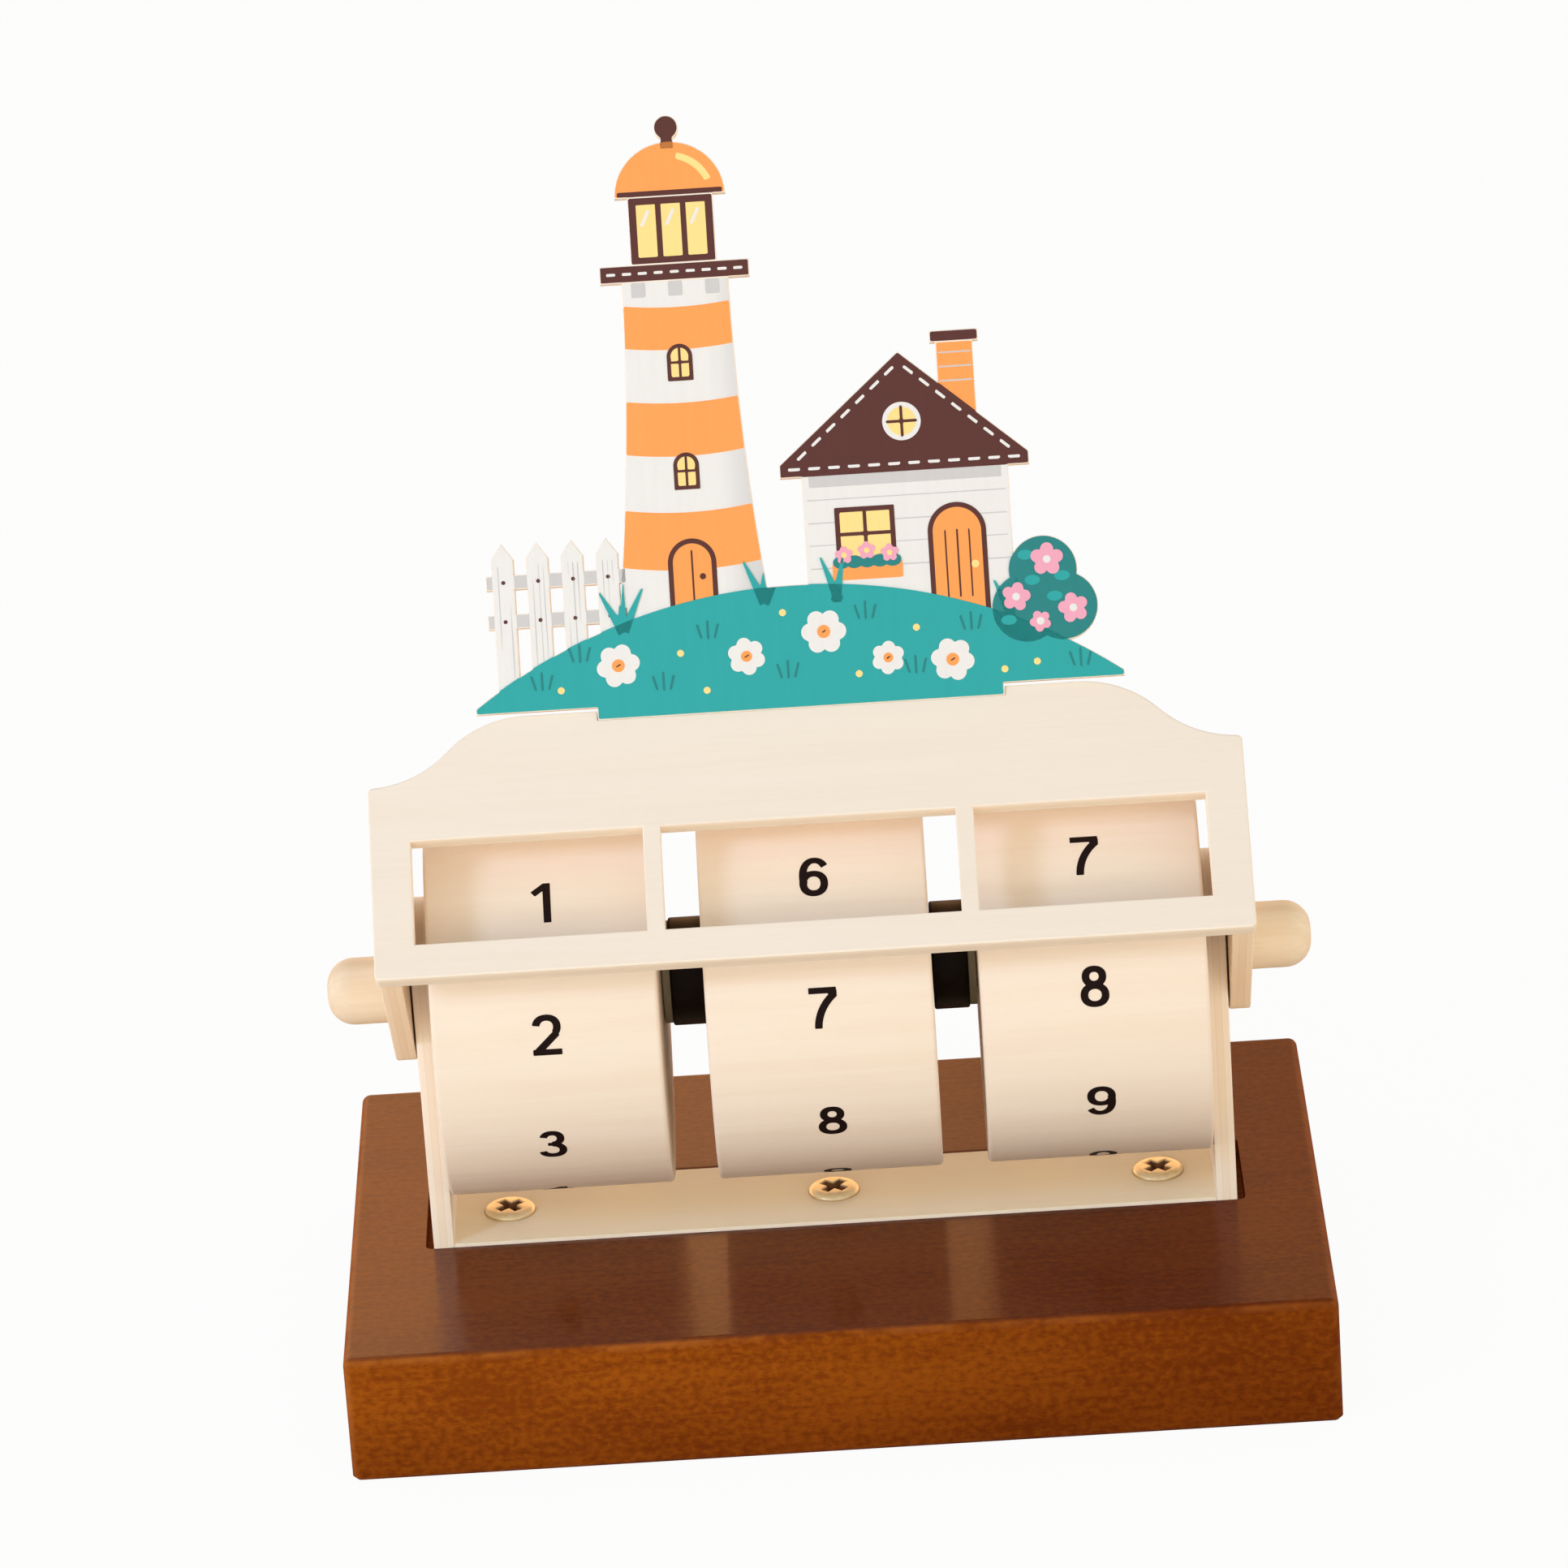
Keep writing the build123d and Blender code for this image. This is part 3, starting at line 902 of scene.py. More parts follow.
# where the heart of each turned piece's tree lay, in millimetres
DOWEL_PITH = (0.0, 9.0, axle.z / MM + 7.0)
DRUM_PITHS = {"left": (0.0, 41.0, 12.0), "middle": (0.0, -18.0, 88.0), "right": (0.0, 26.0, 96.0)}
BORE_RIM = 0.25 * MM              # rounding of the drums' bores
SPACER_RIM = {"sleeve": 0.35 * MM, "washer": 0.12 * MM}
SPACER_BORE_RIM = 0.1 * MM


class DAYCOUNTER_OT_axle(bpy.types.Operator):
    """Turn the dowel that carries the drums"""

    bl_idname = "daycounter.axle"
    bl_label = "Axle"

    def execute(self, context):
        colours = context.scene.day_counter_colours
        rounding = context.scene.day_counter_sizes.dowel_round
        low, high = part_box("axle_dowel")
        middle = (high.y - low.y) / 2 - rounding
        profile = [(low.x, 0.0), *corner_arc(low.x + rounding, middle, rounding, 180, 90, 12),
                   *corner_arc(high.x - rounding, middle, rounding, 90, 0, 12), (high.x, 0.0)]
        finish = turned_wood("dowel_wood", colours.dowel, DOWEL_PITH, strength=0.8)
        new_piece("dowel", lathe("dowel", profile, steps=96, closed=False), finish, "axle_dowel")
        return {"FINISHED"}


class DAYCOUNTER_OT_drums(bpy.types.Operator):
    """Turn the three number drums"""

    bl_idname = "daycounter.drums"
    bl_label = "Drums"

    def execute(self, context):
        colours = context.scene.day_counter_colours
        rim = context.scene.day_counter_sizes.drum_rim
        for side in SIDES:
            node = "drum_" + side
            finish = turned_wood("drum_wood_" + side, colours.drum, DRUM_PITHS[side], strength=0.3)
            new_piece(side + "_drum", lathe(node, ring_profile(node, rim, BORE_RIM)), finish, node)
        return {"FINISHED"}


class DAYCOUNTER_OT_spacers(bpy.types.Operator):
    """Make the black sleeves and the thin washers between the drums"""

    bl_idname = "daycounter.spacers"
    bl_label = "Spacers"

    def execute(self, context):
        colours = context.scene.day_counter_colours
        rubber = smooth_finish("black_rubber", colours.rubber, roughness=0.45, speckle=0.3, depth=0.004,
                               Specular_IOR_Level=0.12)
        nylon = smooth_finish("grey_nylon", colours.washer, roughness=0.6, speckle=0.25, depth=0.01)
        for side in ("left", "right"):
            for kind, finish in (("sleeve", rubber), ("washer", nylon)):
                node = f"{kind}_{side}"
                profile = ring_profile(node, SPACER_RIM[kind], SPACER_BORE_RIM)
                new_piece(f"{side}_{kind}", lathe(node, profile, steps=96), finish, node)
        return {"FINISHED"}


# --- screws -------------------------------------------------------------------
SHANK = 1.7 * MM                  # radius of the thread
PITCH = 1.3 * MM
ROOT = 0.74                       # radius between the turns of the thread, as a share of the shank's
POINT = 3 * MM                    # length of the pointed end
DOME = 0.7                        # how far the head's dome rises, as a share of what stands proud
CROSS_REACH = 2.2 * MM
CROSS_HALF = 0.75 * MM            # half the width of the cross recess
CROSS_DEPTH = 1.5 * MM
CROSS_LEVEL = 0.34 * MM           # from the head's top down to the cross's full width
DRIVER_TURNS = {"left": 38, "middle": 50, "right": 44}    # how far each cross has turned, in degrees


def screw_mesh(name, centre, low, high, head_level, steps=64):
    """A raised countersunk screw with a domed head and a coarse wood thread."""
    head = (high.x - low.x) / 2
    dome = (high.z - head_level) * DOME
    neck = head_level - (head - SHANK)
    shares = (0, 0.1, 0.2, 0.3, 0.4, 0.5, 0.6, 0.7, 0.78, 0.85, 0.9, 0.94, 0.97, 0.99, 1)
    rows = [(head * share, head_level + dome * (1 - share ** 6) ** 0.5, False) for share in shares]
    rows += [(head, head_level - 0.2 * MM, False), (SHANK, neck, False)]
    for z in np.arange(neck - 0.5 * MM, low.z + 0.15 * MM, -PITCH / 8):
        rows.append((min(SHANK, (z - low.z) / POINT * SHANK + 0.1 * MM), z, True))
    rows.append((0.0, low.z, False))
    points = []
    for radius, z, threaded in rows:
        for i in range(steps):
            turn = 2 * math.pi * i / steps
            ridge = abs((z / PITCH + i / steps) % 1 * 2 - 1)
            reach = radius * (ROOT + (1 - ROOT) * ridge ** 3) if threaded else radius
            points.append((centre.x + reach * math.cos(turn), centre.y + reach * math.sin(turn), z))
    return mesh_from(name, points, bands(rings(0, len(rows), steps)))


def cross_cutter(centre, top, turn):
    """A tapered cross that stands point down in a screw's head."""
    outline = []
    for quarter in range(4):
        spin = Matrix.Rotation(math.radians(90 * quarter) + turn, 2)
        corners = ((CROSS_HALF, -CROSS_HALF), (CROSS_REACH, -CROSS_HALF), (CROSS_REACH, CROSS_HALF))
        outline += [spin @ Vector(point) for point in corners]
    points = []
    for share, z in ((1.2, top + 0.4 * MM), (1.0, top), (0.5, top - CROSS_DEPTH)):
        points += [(centre.x + p.x * share, centre.y + p.y * share, z) for p in outline]
    rows = rings(0, 3, len(outline))
    return mesh_from("cross_cutter", points, [*bands(rows), rows[0], rows[2][::-1]])


def carve(piece, mesh):
    """Cuts a mesh out of a piece, for good."""
    cutter = add_object("cutter", mesh)
    cut = piece.modifiers.new("recess", "BOOLEAN")
    cut.object = cutter
    cut.solver = "EXACT"
    bpy.context.view_layer.update()
    carved = bpy.data.meshes.new_from_object(piece.evaluated_get(bpy.context.evaluated_depsgraph_get()))
    piece.modifiers.remove(cut)
    piece.data = carved
    bpy.data.objects.remove(cutter)


class DAYCOUNTER_OT_screws(bpy.types.Operator):
    """Drive the three brass screws"""

    bl_idname = "daycounter.screws"
    bl_label = "Screws"

    def execute(self, context):
        strip_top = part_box("floor_strip")[1].z
        for side, turn in DRIVER_TURNS.items():
            node = "screw_" + side
            low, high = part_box(node)
            centre = (low + high) / 2
            finish = brass_finish("brass_" + side, context.scene.day_counter_colours, centre / MM,
                                  CROSS_REACH / MM + 0.2, high.z / MM - 0.4)
            piece = new_piece(side + "_screw", screw_mesh(node, centre, low, high, strip_top), finish, node)
            carve(piece, cross_cutter(centre, high.z - CROSS_LEVEL, math.radians(turn)))
        return {"FINISHED"}


# --- topper -------------------------------------------------------------------
# all in millimetres, from the middle of the board's lowest edge
HILL = SimpleNamespace(width=91.0, height=15.5, tip=0.8, foot=1.7, tab=57.0)
TOWER = SimpleNamespace(x=-14.0, foot=25.0, head=15.0, top=61.0, waist=1.2, deck=21.0, deck_height=2.4,
                        lantern=12.0, lantern_height=9.5, dome=15.6, dome_height=7.6, stem=1.8,
                        stem_height=2.0, ball=1.7)
COTTAGE = SimpleNamespace(x=16.5, width=29.0, eaves=34.0, roof=35.0, rise=15.0, lip=1.8, chimney_x=24.5,
                          chimney=5.2, chimney_top=50.0, cap=1.6)
FENCE = SimpleNamespace(places=(-40.6, -35.7, -30.8, -25.9), pitch=4.9, picket=3.1, height=25.5, point=2.2,
                        rail=2.0, levels=(14.5, 20.0))
BUSH = SimpleNamespace(x=35.0, level=12.0, radius=4.8, spread=2.6)
TOPPER_EASE = 0.1                 # width of the rubbed edge of the board
PRINT_MARGIN = 0.12               # between the print and the board's edge
PRINT_LAYER = 0.03                # thickness of each layer of print
PRINT_FOOT = -0.01                # where the print starts, just inside the board
PRINT_CELL = 0.22                 # of the grid on which the print's shapes are found
BORDER = 0.4                      # of that grid round the board
TRIO = (-1, 0, 1)


def hill_shape():
    half, rise = HILL.width / 2, HILL.height - HILL.tip
    radius = (half ** 2 + rise ** 2) / (2 * rise)
    ground = centred(0, HILL.width, HILL.foot, 2 * HILL.height)
    crown = disc(0, HILL.foot + HILL.height - radius, radius) & ground
    return crown | centred(0, HILL.tab, 0, 2 * HILL.foot)


def tower_body():
    def field(x, y):
        share = np.clip((y - HILL.foot) / (TOWER.top - HILL.foot), 0, 1)
        half = TOWER.foot / 2 + (TOWER.head - TOWER.foot) / 2 * share
        return np.abs(x - TOWER.x) - half + 4 * TOWER.waist * share * (1 - share)
    return Shape(field) & between(HILL.foot, TOWER.top)


def tower_parts():
    """Deck, lantern, dome and finial, from the tower's top upwards."""
    x0, level = TOWER.x, TOWER.top
    deck = centred(x0, TOWER.deck, level, level + TOWER.deck_height)
    level += TOWER.deck_height
    lantern = centred(x0, TOWER.lantern, level, level + TOWER.lantern_height)
    level += TOWER.lantern_height
    dome = oval(x0, level, TOWER.dome / 2, TOWER.dome_height) & between(level, math.inf)
    level += TOWER.dome_height
    ball = disc(x0, level + TOWER.stem_height, TOWER.ball)
    return deck, lantern, dome, centred(x0, TOWER.stem, level - 1, level + TOWER.stem_height) | ball


def cottage_parts():
    """Walls, roof, chimney stack and its cap."""
    x0, eaves, half, top = COTTAGE.x, COTTAGE.eaves, COTTAGE.roof / 2, COTTAGE.chimney_top
    walls = centred(x0, COTTAGE.width, HILL.foot, eaves)
    roof = polygon((x0 - half, eaves - COTTAGE.lip), (x0 + half, eaves - COTTAGE.lip), (x0 + half, eaves),
                   (x0, eaves + COTTAGE.rise), (x0 - half, eaves))
    stack = centred(COTTAGE.chimney_x, COTTAGE.chimney, eaves, top)
    cap = centred(COTTAGE.chimney_x, COTTAGE.chimney + COTTAGE.cap, top, top + COTTAGE.cap)
    return walls, roof, stack, cap


def fence_parts():
    """Pickets and rails."""
    half, body = FENCE.picket / 2, FENCE.height - FENCE.point
    pickets = union(polygon((x - half, HILL.foot), (x + half, HILL.foot), (x + half, body),
                            (x, FENCE.height), (x - half, body)) for x in FENCE.places)
    left, right = FENCE.places[0] - FENCE.pitch / 2, FENCE.places[-1] + FENCE.pitch / 2
    return pickets, lines(left, right, FENCE.levels, FENCE.rail)


def bush_shape():
    places = ((-BUSH.spread, 0), (BUSH.spread, 0), (0, 2 * BUSH.spread))
    return discs([(BUSH.x + x, BUSH.level + y) for x, y in places], BUSH.radius)


def petals(x0, y0, radius, count, turn):
    """A ring of round petals about a point."""
    turns = [math.radians(turn + 360 / count * i) for i in range(count)]
    places = [(x0 + radius * 0.62 * math.cos(a), y0 + radius * 0.62 * math.sin(a)) for a in turns]
    return discs(places, radius * 0.4) | disc(x0, y0, radius * 0.5)


def dashes(x0, y0, x1, y1, length_on, length_off, stroke):
    """A line of stitches from one point to another."""
    reach = math.hypot(x1 - x0, y1 - y0)
    count = int((reach + length_off) // (length_on + length_off))
    step = (reach - length_on) / max(count - 1, 1)
    cos, sin = (x1 - x0) / reach, (y1 - y0) / reach
    ends = [(step * i, step * i + length_on) for i in range(count)]
    return union(bar(x0 + cos * a, y0 + sin * a, x0 + cos * b, y0 + sin * b, stroke) for a, b in ends)


def tower_band(low, high):
    """What lies between two levels of the tower, each sagging in the middle as on a round wall."""
    def edge(level):
        return lambda x, y: y - level + 1.3 * (1 - ((x - TOWER.x) / 12) ** 2)
    lower, upper = edge(low), edge(high)
    return Shape(lambda x, y: np.maximum(-lower(x, y), upper(x, y)))


def arched(x0, bottom, width, height):
    """A doorway or window with a round head."""
    level = bottom + height - width / 2
    return centred(x0, width, bottom, level) | disc(x0, level, width / 2)


def cross(x0, low, high, reach, level, stroke):
    """An upright stroke from low to high, and one at a level that reaches as far to both sides."""
    return posts([x0], low, high, stroke) | lines(x0 - reach, x0 + reach, [level], stroke)


def lit_window(opening, edge, bars):
    """A dark opening with a lit pane inside its edge, behind bars."""
    return [("brown", 3, opening), ("glow", 4, opening.grown(-edge)), ("brown", 5, bars)]


def door(x0, bottom, width, height):
    """An arched door in a dark frame."""
    return [("brown", 3, arched(x0, bottom, width, height)),
            ("orange", 4, arched(x0, bottom, width - 1.4, height - 0.7))]


def tower_art():
    """Bands, two windows, a door and corbels on the tower, and what stands on it."""
    deck, lantern, dome, finial = tower_parts()
    x0, top = TOWER.x, TOWER.top
    bands_at = ((21.5, 29.6), (37.5, 45), (52.5, 58.5))
    art = [("orange", 2, tower_body() & tower_band(low, high)) for low, high in bands_at]
    for sill in (31.5, 46.8):
        art += lit_window(arched(x0, sill, 3.6, 5.2), 0.55, cross(x0, sill, sill + 5, 1.5, sill + 2.6, 0.35))
    art += door(x0, 12, 6.8, 12.6)
    art += [("brown", 5, posts([x0], 15, 23, 0.25) | disc(x0 + 1.4, 19.2, 0.45)),
            ("shade", 2, posts([x0 + 5.2 * i for i in TRIO], top - 2.2, top, 2)),
            ("brown", 1, deck), ("white", 2, dashes(x0 - 9.6, top + 1.2, x0 + 9.6, top + 1.2, 1.3, 0.8, 0.4))]
    level = top + TOWER.deck_height
    panes = [x0 + 3.5 * i for i in TRIO]
    art += [("brown", 1, lantern), ("glow", 2, posts(panes, level + 1, level + 8.4, 2.7)),
            ("white", 3, union(bar(x - 0.7, level + 5.4, x + 0.4, level + 7.6, 0.45) for x in panes))]
    level += TOWER.lantern_height
    shine = (oval(x0, level, 6.3, 6.1) - oval(x0 - 0.5, level - 0.4, 6, 5.7)) & wedge(x0, level, 20, 78)
    return art + [("orange", 1, dome), ("glow", 2, shine), ("brown", 1, finial),
                  ("brown", 2, lines(x0 - 7.4, x0 + 7.4, [level + 0.4], 0.8))]


def cottage_art():
    """Boards, door, window with a flower box, stitched roof and chimney."""
    walls, roof, stack, cap = cottage_parts()
    x0, eaves, half, ridge = COTTAGE.x, COTTAGE.eaves, COTTAGE.roof / 2, COTTAGE.eaves + COTTAGE.rise
    chimney, door_x, pane_x = COTTAGE.chimney_x, COTTAGE.x + 6.8, COTTAGE.x - 6
    blossoms = [(pane_x + s, 20.9 + lift) for s, lift in ((-3.2, 0), (0, 0.5), (3.2, 0))]
    seams = ((x0 - half + 2.6, eaves + 0.6, x0 - 0.7, ridge - 2.1),
             (x0 + half - 2.6, eaves + 0.6, x0 + 0.7, ridge - 2.1),
             (x0 - half + 1.2, eaves - 0.7, x0 + half - 1.2, eaves - 0.7))
    attic = disc(x0, eaves + 5.2, 2.7)
    return [("shade", 2, lines(x0 - 14, x0 + 14, (19.2, 22.4, 25.6, 28.8), 0.22)),
            ("shade", 2, centred(x0, 27, eaves - 3.4, eaves)), *door(door_x, 11, 8.2, 16.4),
            ("brown", 5, posts([door_x + 1.7 * i for i in TRIO], 14, 23.6, 0.25)),
            ("glow", 6, disc(x0 + 9.1, 18.6, 0.55)),
            *lit_window(centred(pane_x, 8.4, 19.6, 27.6), 0.7, cross(pane_x, 19.8, 27.4, 4, 23.8, 0.5)),
            ("orange", 5, centred(pane_x, 9.8, 17.4, 19.8)),
            ("leaf", 6, union(oval(pane_x + 1.8 * i, 19.9, 1.2, 0.9) for i in (-2, -1, 0, 1, 2))),
            ("pink", 7, union(petals(x, y, 1.25, 5, 20) for x, y in blossoms)),
            ("glow", 8, discs(blossoms, 0.4)),
            ("orange", 1, stack), ("brown", 1, cap), ("brown", 3, roof),
            ("white", 4, union(dashes(*ends, 1.7, 1.0, 0.42) for ends in seams) | attic),
            ("glow", 5, attic.grown(-0.7)),
            ("brown", 6, cross(x0, eaves + 3, eaves + 7.4, 2.2, eaves + 5.2, 0.4)),
            ("shade", 2, lines(chimney - 2.4, chimney + 2.4, (44.5, 46.5, 48.5), 0.25))]


def fence_art():
    """Grain lines and nails."""
    grain = union(bar(x + s, 6.5, x + s * 0.8, 22.4, 0.16) for x in FENCE.places for s in (-0.8, 0.1, 0.9))
    nails = discs([(x, y) for x in FENCE.places for y in FENCE.levels], 0.3)
    return [("shade", 3, grain), ("brown", 3, nails)]


def hill_art():
    """Tufts on the hill's crown, grass, daisies and specks on its slope, and a bush in blossom."""
    blades = [(-25.6, 14.6, -28), (-24.2, 15.2, 4), (-22.8, 14.8, 26), (-5.4, 17.6, -24), (-4.0, 18.0, 6),
              (-2.8, 17.4, 30), (5.2, 17.4, -20), (6.4, 17.4, 12), (29.4, 12.8, -22), (30.4, 12.8, 14)]
    tufts = union(polygon((-0.75, -3), (0.75, -3), (0.12, 3.6), (-0.12, 3.6)).turned(-lean).moved(x, y)
                  for x, y, lean in blades)
    places = [(-36, 5.6), (-30.5, 9.2), (-19, 4.6), (-12.4, 11.4), (-1.5, 5.2), (9.8, 12.8), (16.4, 4.8),
              (24.5, 10.4), (39.5, 4.4)]
    grass = union(bar(x - 0.9, y - 1, x - 1.5, y + 1.1, 0.34) | bar(x, y - 1.1, x, y + 1.6, 0.34)
                  | bar(x + 0.9, y - 1, x + 1.5, y + 1.1, 0.34) for x, y in places)
    daisies = [(-25.2, 7.4, 3.0, 10), (-7.2, 7.6, 2.6, 40), (3.8, 10.4, 3.1, 0), (12.6, 6.2, 2.3, 25),
               (21.6, 5.4, 3.0, 50)]
    specks = [(-33.4, 4.4), (-16.4, 8.6), (-13, 3.2), (-1.8, 13.4), (8.4, 4.2), (16.8, 10.2), (28.8, 3.6),
              (33.4, 4.4)]
    x0, level = BUSH.x, BUSH.level
    blossoms = [(x0 - 4.0, level + 1.6, 2.0, 5), (x0 + 3.9, level - 0.4, 2.1, 30),
                (x0 + 0.6, level + 6.6, 2.3, 15), (x0 - 0.8, level - 2.0, 1.5, 44)]
    leaves = [(-1.6, 3.8), (2.6, 4.2), (-2.4, 7.4), (1.4, 1.4), (-5.2, -1.6)]
    return [("teal", 7, hill_shape()), ("teal", 7, tufts), ("leaf", 7, bush_shape()), ("leaf", 8, grass),
            ("white", 8, union(petals(x, y, radius, 6, turn) for x, y, radius, turn in daisies)),
            ("orange", 9, union(disc(x, y, radius * 0.3) for x, y, radius, turn in daisies)),
            ("brown", 10, union(bar(x - 0.35, y - 0.2, x + 0.35, y + 0.2, 0.2) for x, y, *rest in daisies)),
            ("glow", 8, discs(specks, 0.5)),
            ("teal", 8, union(oval(x0 + x, level + y, 1.1, 0.7) for x, y in leaves)),
            ("pink", 9, union(petals(x, y, radius, 5, turn) for x, y, radius, turn in blossoms)),
            ("white", 10, discs([(x, y) for x, y, *rest in blossoms], 0.55))]


def artwork():
    """The paint, the layer and the shape of every print, where a higher layer covers a lower one."""
    pickets, rails = fence_parts()
    grounds = [("tower", 1, tower_body()), ("white", 1, cottage_parts()[0]), ("shade", 1, rails),
               ("white", 2, pickets)]
    return grounds + tower_art() + cottage_art() + fence_art() + hill_art()


def printable():
    """The whole board but for a narrow margin."""
    shapes = [hill_shape(), tower_body(), *tower_parts(), *cottage_parts(), *fence_parts(), bush_shape()]
    return union(shapes).grown(-PRINT_MARGIN)


def on_board(face, layer):
    """Says where the points of a print go on the board's face."""
    def place(x, y, top):
        return face @ Vector((x * MM, y * MM, (layer * PRINT_LAYER if top else PRINT_FOOT) * MM))
    return place


class DAYCOUNTER_OT_topper(bpy.types.Operator):
    """Finish the cut-out board and print its picture in thin layers"""

    bl_idname = "daycounter.topper"
    bl_label = "Topper"

    def execute(self, context):
        colours = context.scene.day_counter_colours
        node = "topper_plaque"
        face = front_frame(node)
        up, out = face.to_3x3().col[1], face.to_3x3().col[2]
        upright_grain = sheet_frame(face.translation, up, out)
        finish = plywood("topper_plywood", upright_grain, sheet_thickness(), colours.veneer, colours.layers)
        new_piece("topper", sheet_mesh("topper", node, out, TOPPER_EASE * MM), finish, node)

        low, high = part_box(node)
        box = (low.x / MM - BORDER, -BORDER, high.x / MM + BORDER, (high.z - low.z) / MM / -out.y + BORDER)
        board = printable()
        prints = defaultdict(bmesh.new)
        for paint, layer, shape in artwork():
            built = slab(board & shape, box, PRINT_CELL, on_board(face, layer))
            bmesh.ops.dissolve_limit(built, angle_limit=FLAT_TURN, verts=built.verts, edges=built.edges)
            gather(prints[paint], built)
        for paint, built in prints.items():
            name = "paint_" + paint
            if paint == "tower":
                finish = paint_finish(name, face, colours.white, colours.shade, middle=TOWER.x, reach=10.0)
            else:
                finish = paint_finish(name, face, getattr(colours, paint))
            new_piece("print_" + paint, mesh_of("print_" + paint, built), finish, node, replaces=False)
        return {"FINISHED"}


# --- stage --------------------------------------------------------------------
TARGET = Vector((-3.27, 0.0, 83.84)) * MM         # what the camera and the lamp look at
FLOOR_REACH = 6.0                                 # metres from the middle to each side
FLOOR_COLOUR = (0.96, 0.86, 0.76)
LAMP_SIDE = Vector((-0.96, -0.8, 0.6)).normalized()
LAMP_DISTANCE, LAMP_SIZE = 1.3, 0.28              # metres
LAMP_POWER = 4.8                                  # watts
LAMP_COLOUR = (0.48, 0.65, 1.0)
# light from low down and from high up, and what gloss shows of the front and of the back
DOME_FRONT = (2.25, 2.12, 1.82), (0.55, 0.6, 0.55)
DOME_BACK = (2.5, 2.15, 1.9), (0.2, 0.2, 0.2)
MIRRORED = (1.0, 0.97, 0.94), (2.2, 1.12, 0.48)
LENS, SENSOR = 197.5, 36.0                        # millimetres
NEAREST, FARTHEST = 0.05, 50.0                    # what the camera sees, in metres


def white_to_camera(nodes, plain, share):
    """Mixes so much even white into a plain shader, on what the camera sees directly."""
    white = nodes.node("Emission", inputs={"Color": (1, 1, 1), "Strength": 1.0})
    seen = nodes.node("LightPath", output="Is Camera Ray")
    return nodes.node("MixShader", inputs={0: seen * share, 1: plain, 2: white})


def aim(thing, place, forward, roll=0.0):
    """Stands a camera or a lamp somewhere, looking forward."""
    thing.location = place
    thing.rotation_mode = "QUATERNION"
    thing.rotation_quaternion = forward.to_track_quat("-Z", "Y") @ Quaternion((0, 0, 1), roll)


def lay_floor():
    corners = [(x * FLOOR_REACH, y * FLOOR_REACH, 0) for x, y in ((-1, -1), (1, -1), (1, 1), (-1, 1))]
    mesh = mesh_from("floor", corners, [(0, 1, 2, 3)])
    finish = Finish("pale_floor")
    plain = finish.node("BsdfDiffuse", inputs={"Color": FLOOR_COLOUR})
    finish.feed(finish.tree.nodes["Material Output"], {"Surface": white_to_camera(finish, plain, 0.95)})
    mesh.materials.append(finish.material)
    floor = add_object("floor", mesh)


def light_studio(scene):
    """Sets up a soft dome that the camera sees as white, and one lamp from the left."""
    world = bpy.data.worlds.new("studio")
    world.use_nodes = True
    scene.world = world
    sky = Nodes(world.node_tree)
    depth, height = sky.xyz(sky.node("TexCoord", output="Generated"))[1:]
    up = height.rise(0.15, 0.6)
    dome = sky.mix(depth.rise(-0.45, 0.05), sky.mix(up, *DOME_FRONT), sky.mix(up, *DOME_BACK))
    mirrored = sky.mix(depth.rise(-0.3, 0.3), *MIRRORED)
    plain, wall = [sky.node("Background", inputs={"Color": light, "Strength": 1.0})
                   for light in (dome, mirrored)]
    seen = sky.node("MixShader", inputs={0: sky.node("LightPath", output="Is Glossy Ray"), 1: plain, 2: wall})
    sky.feed(world.node_tree.nodes["World Output"], {"Surface": white_to_camera(sky, seen, 1.0)})

    light = bpy.data.lights.new("key_light", "AREA")
    light.shape = "DISK"
    light.size = LAMP_SIZE
    light.energy = LAMP_POWER
    light.color = LAMP_COLOUR
    aim(add_object("key_light", light), TARGET + LAMP_SIDE * LAMP_DISTANCE, -LAMP_SIDE)


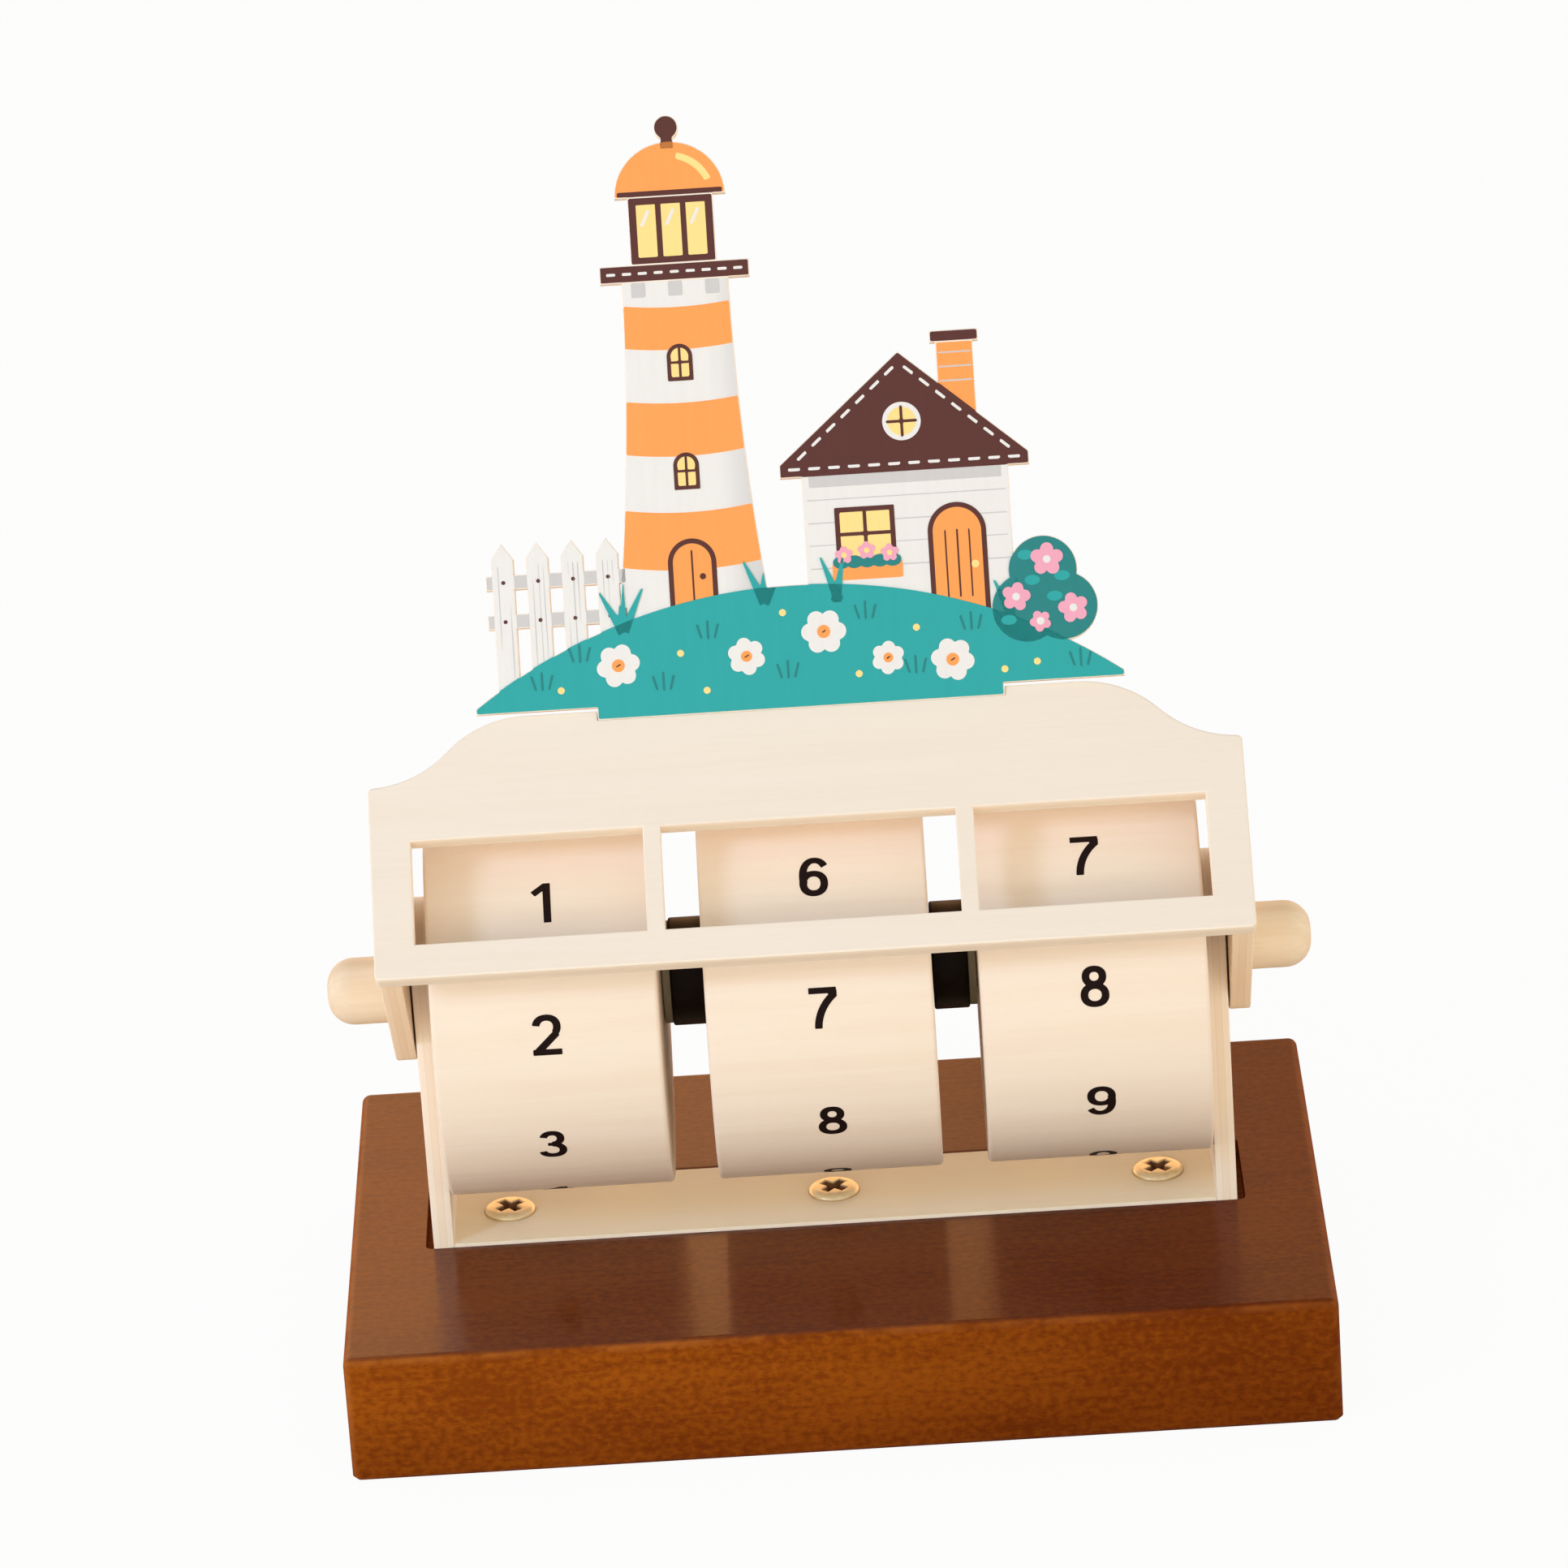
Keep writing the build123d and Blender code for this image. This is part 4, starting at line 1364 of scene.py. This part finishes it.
class DAYCOUNTER_OT_stage(bpy.types.Operator):
    """Set up the pale floor, the soft light and the camera"""

    bl_idname = "daycounter.stage"
    bl_label = "Stage"

    def execute(self, context):
        scene = context.scene
        sizes = scene.day_counter_sizes
        scene.view_settings.view_transform = "Standard"
        lay_floor()
        light_studio(scene)
        azimuth, elevation = sizes.camera_azimuth, sizes.camera_elevation
        forward = Vector((math.sin(azimuth) * math.cos(elevation), math.cos(azimuth) * math.cos(elevation),
                          -math.sin(elevation)))
        lens = bpy.data.cameras.new("camera")
        lens.sensor_width = SENSOR
        lens.lens = LENS
        lens.clip_start, lens.clip_end = NEAREST, FARTHEST
        camera = add_object("camera", lens)
        aim(camera, TARGET - forward * sizes.camera_distance, forward, sizes.camera_roll)
        scene.camera = camera
        return {"FINISHED"}


# --- add-on -------------------------------------------------------------------
OPERATORS = (
    DAYCOUNTER_OT_base,
    DAYCOUNTER_OT_frame,
    DAYCOUNTER_OT_hood,
    DAYCOUNTER_OT_axle,
    DAYCOUNTER_OT_drums,
    DAYCOUNTER_OT_numerals,
    DAYCOUNTER_OT_spacers,
    DAYCOUNTER_OT_screws,
    DAYCOUNTER_OT_topper,
    DAYCOUNTER_OT_stage,
)


class DAYCOUNTER_PT_panel(bpy.types.Panel):
    """Lists the steps that dress the counter"""

    bl_idname = "DAYCOUNTER_PT_panel"
    bl_label = "Desk Day Counter"
    bl_space_type = "VIEW_3D"
    bl_region_type = "UI"
    bl_category = "Day Counter"

    def draw(self, context):
        for operator in OPERATORS:
            self.layout.operator(operator.bl_idname)


CLASSES = (DayCounterSizes, DayCounterColours, *OPERATORS, DAYCOUNTER_PT_panel)


def register():
    for item in CLASSES:
        bpy.utils.register_class(item)
    bpy.types.Scene.day_counter_sizes = PointerProperty(type=DayCounterSizes)
    bpy.types.Scene.day_counter_colours = PointerProperty(type=DayCounterColours)


def unregister():
    del bpy.types.Scene.day_counter_colours
    del bpy.types.Scene.day_counter_sizes
    for item in reversed(CLASSES):
        bpy.utils.unregister_class(item)


def main():
    register()
    for operator in OPERATORS:
        category, step = operator.bl_idname.split(".")
        getattr(getattr(bpy.ops, category), step)()


if __name__ == "__main__":
    main()
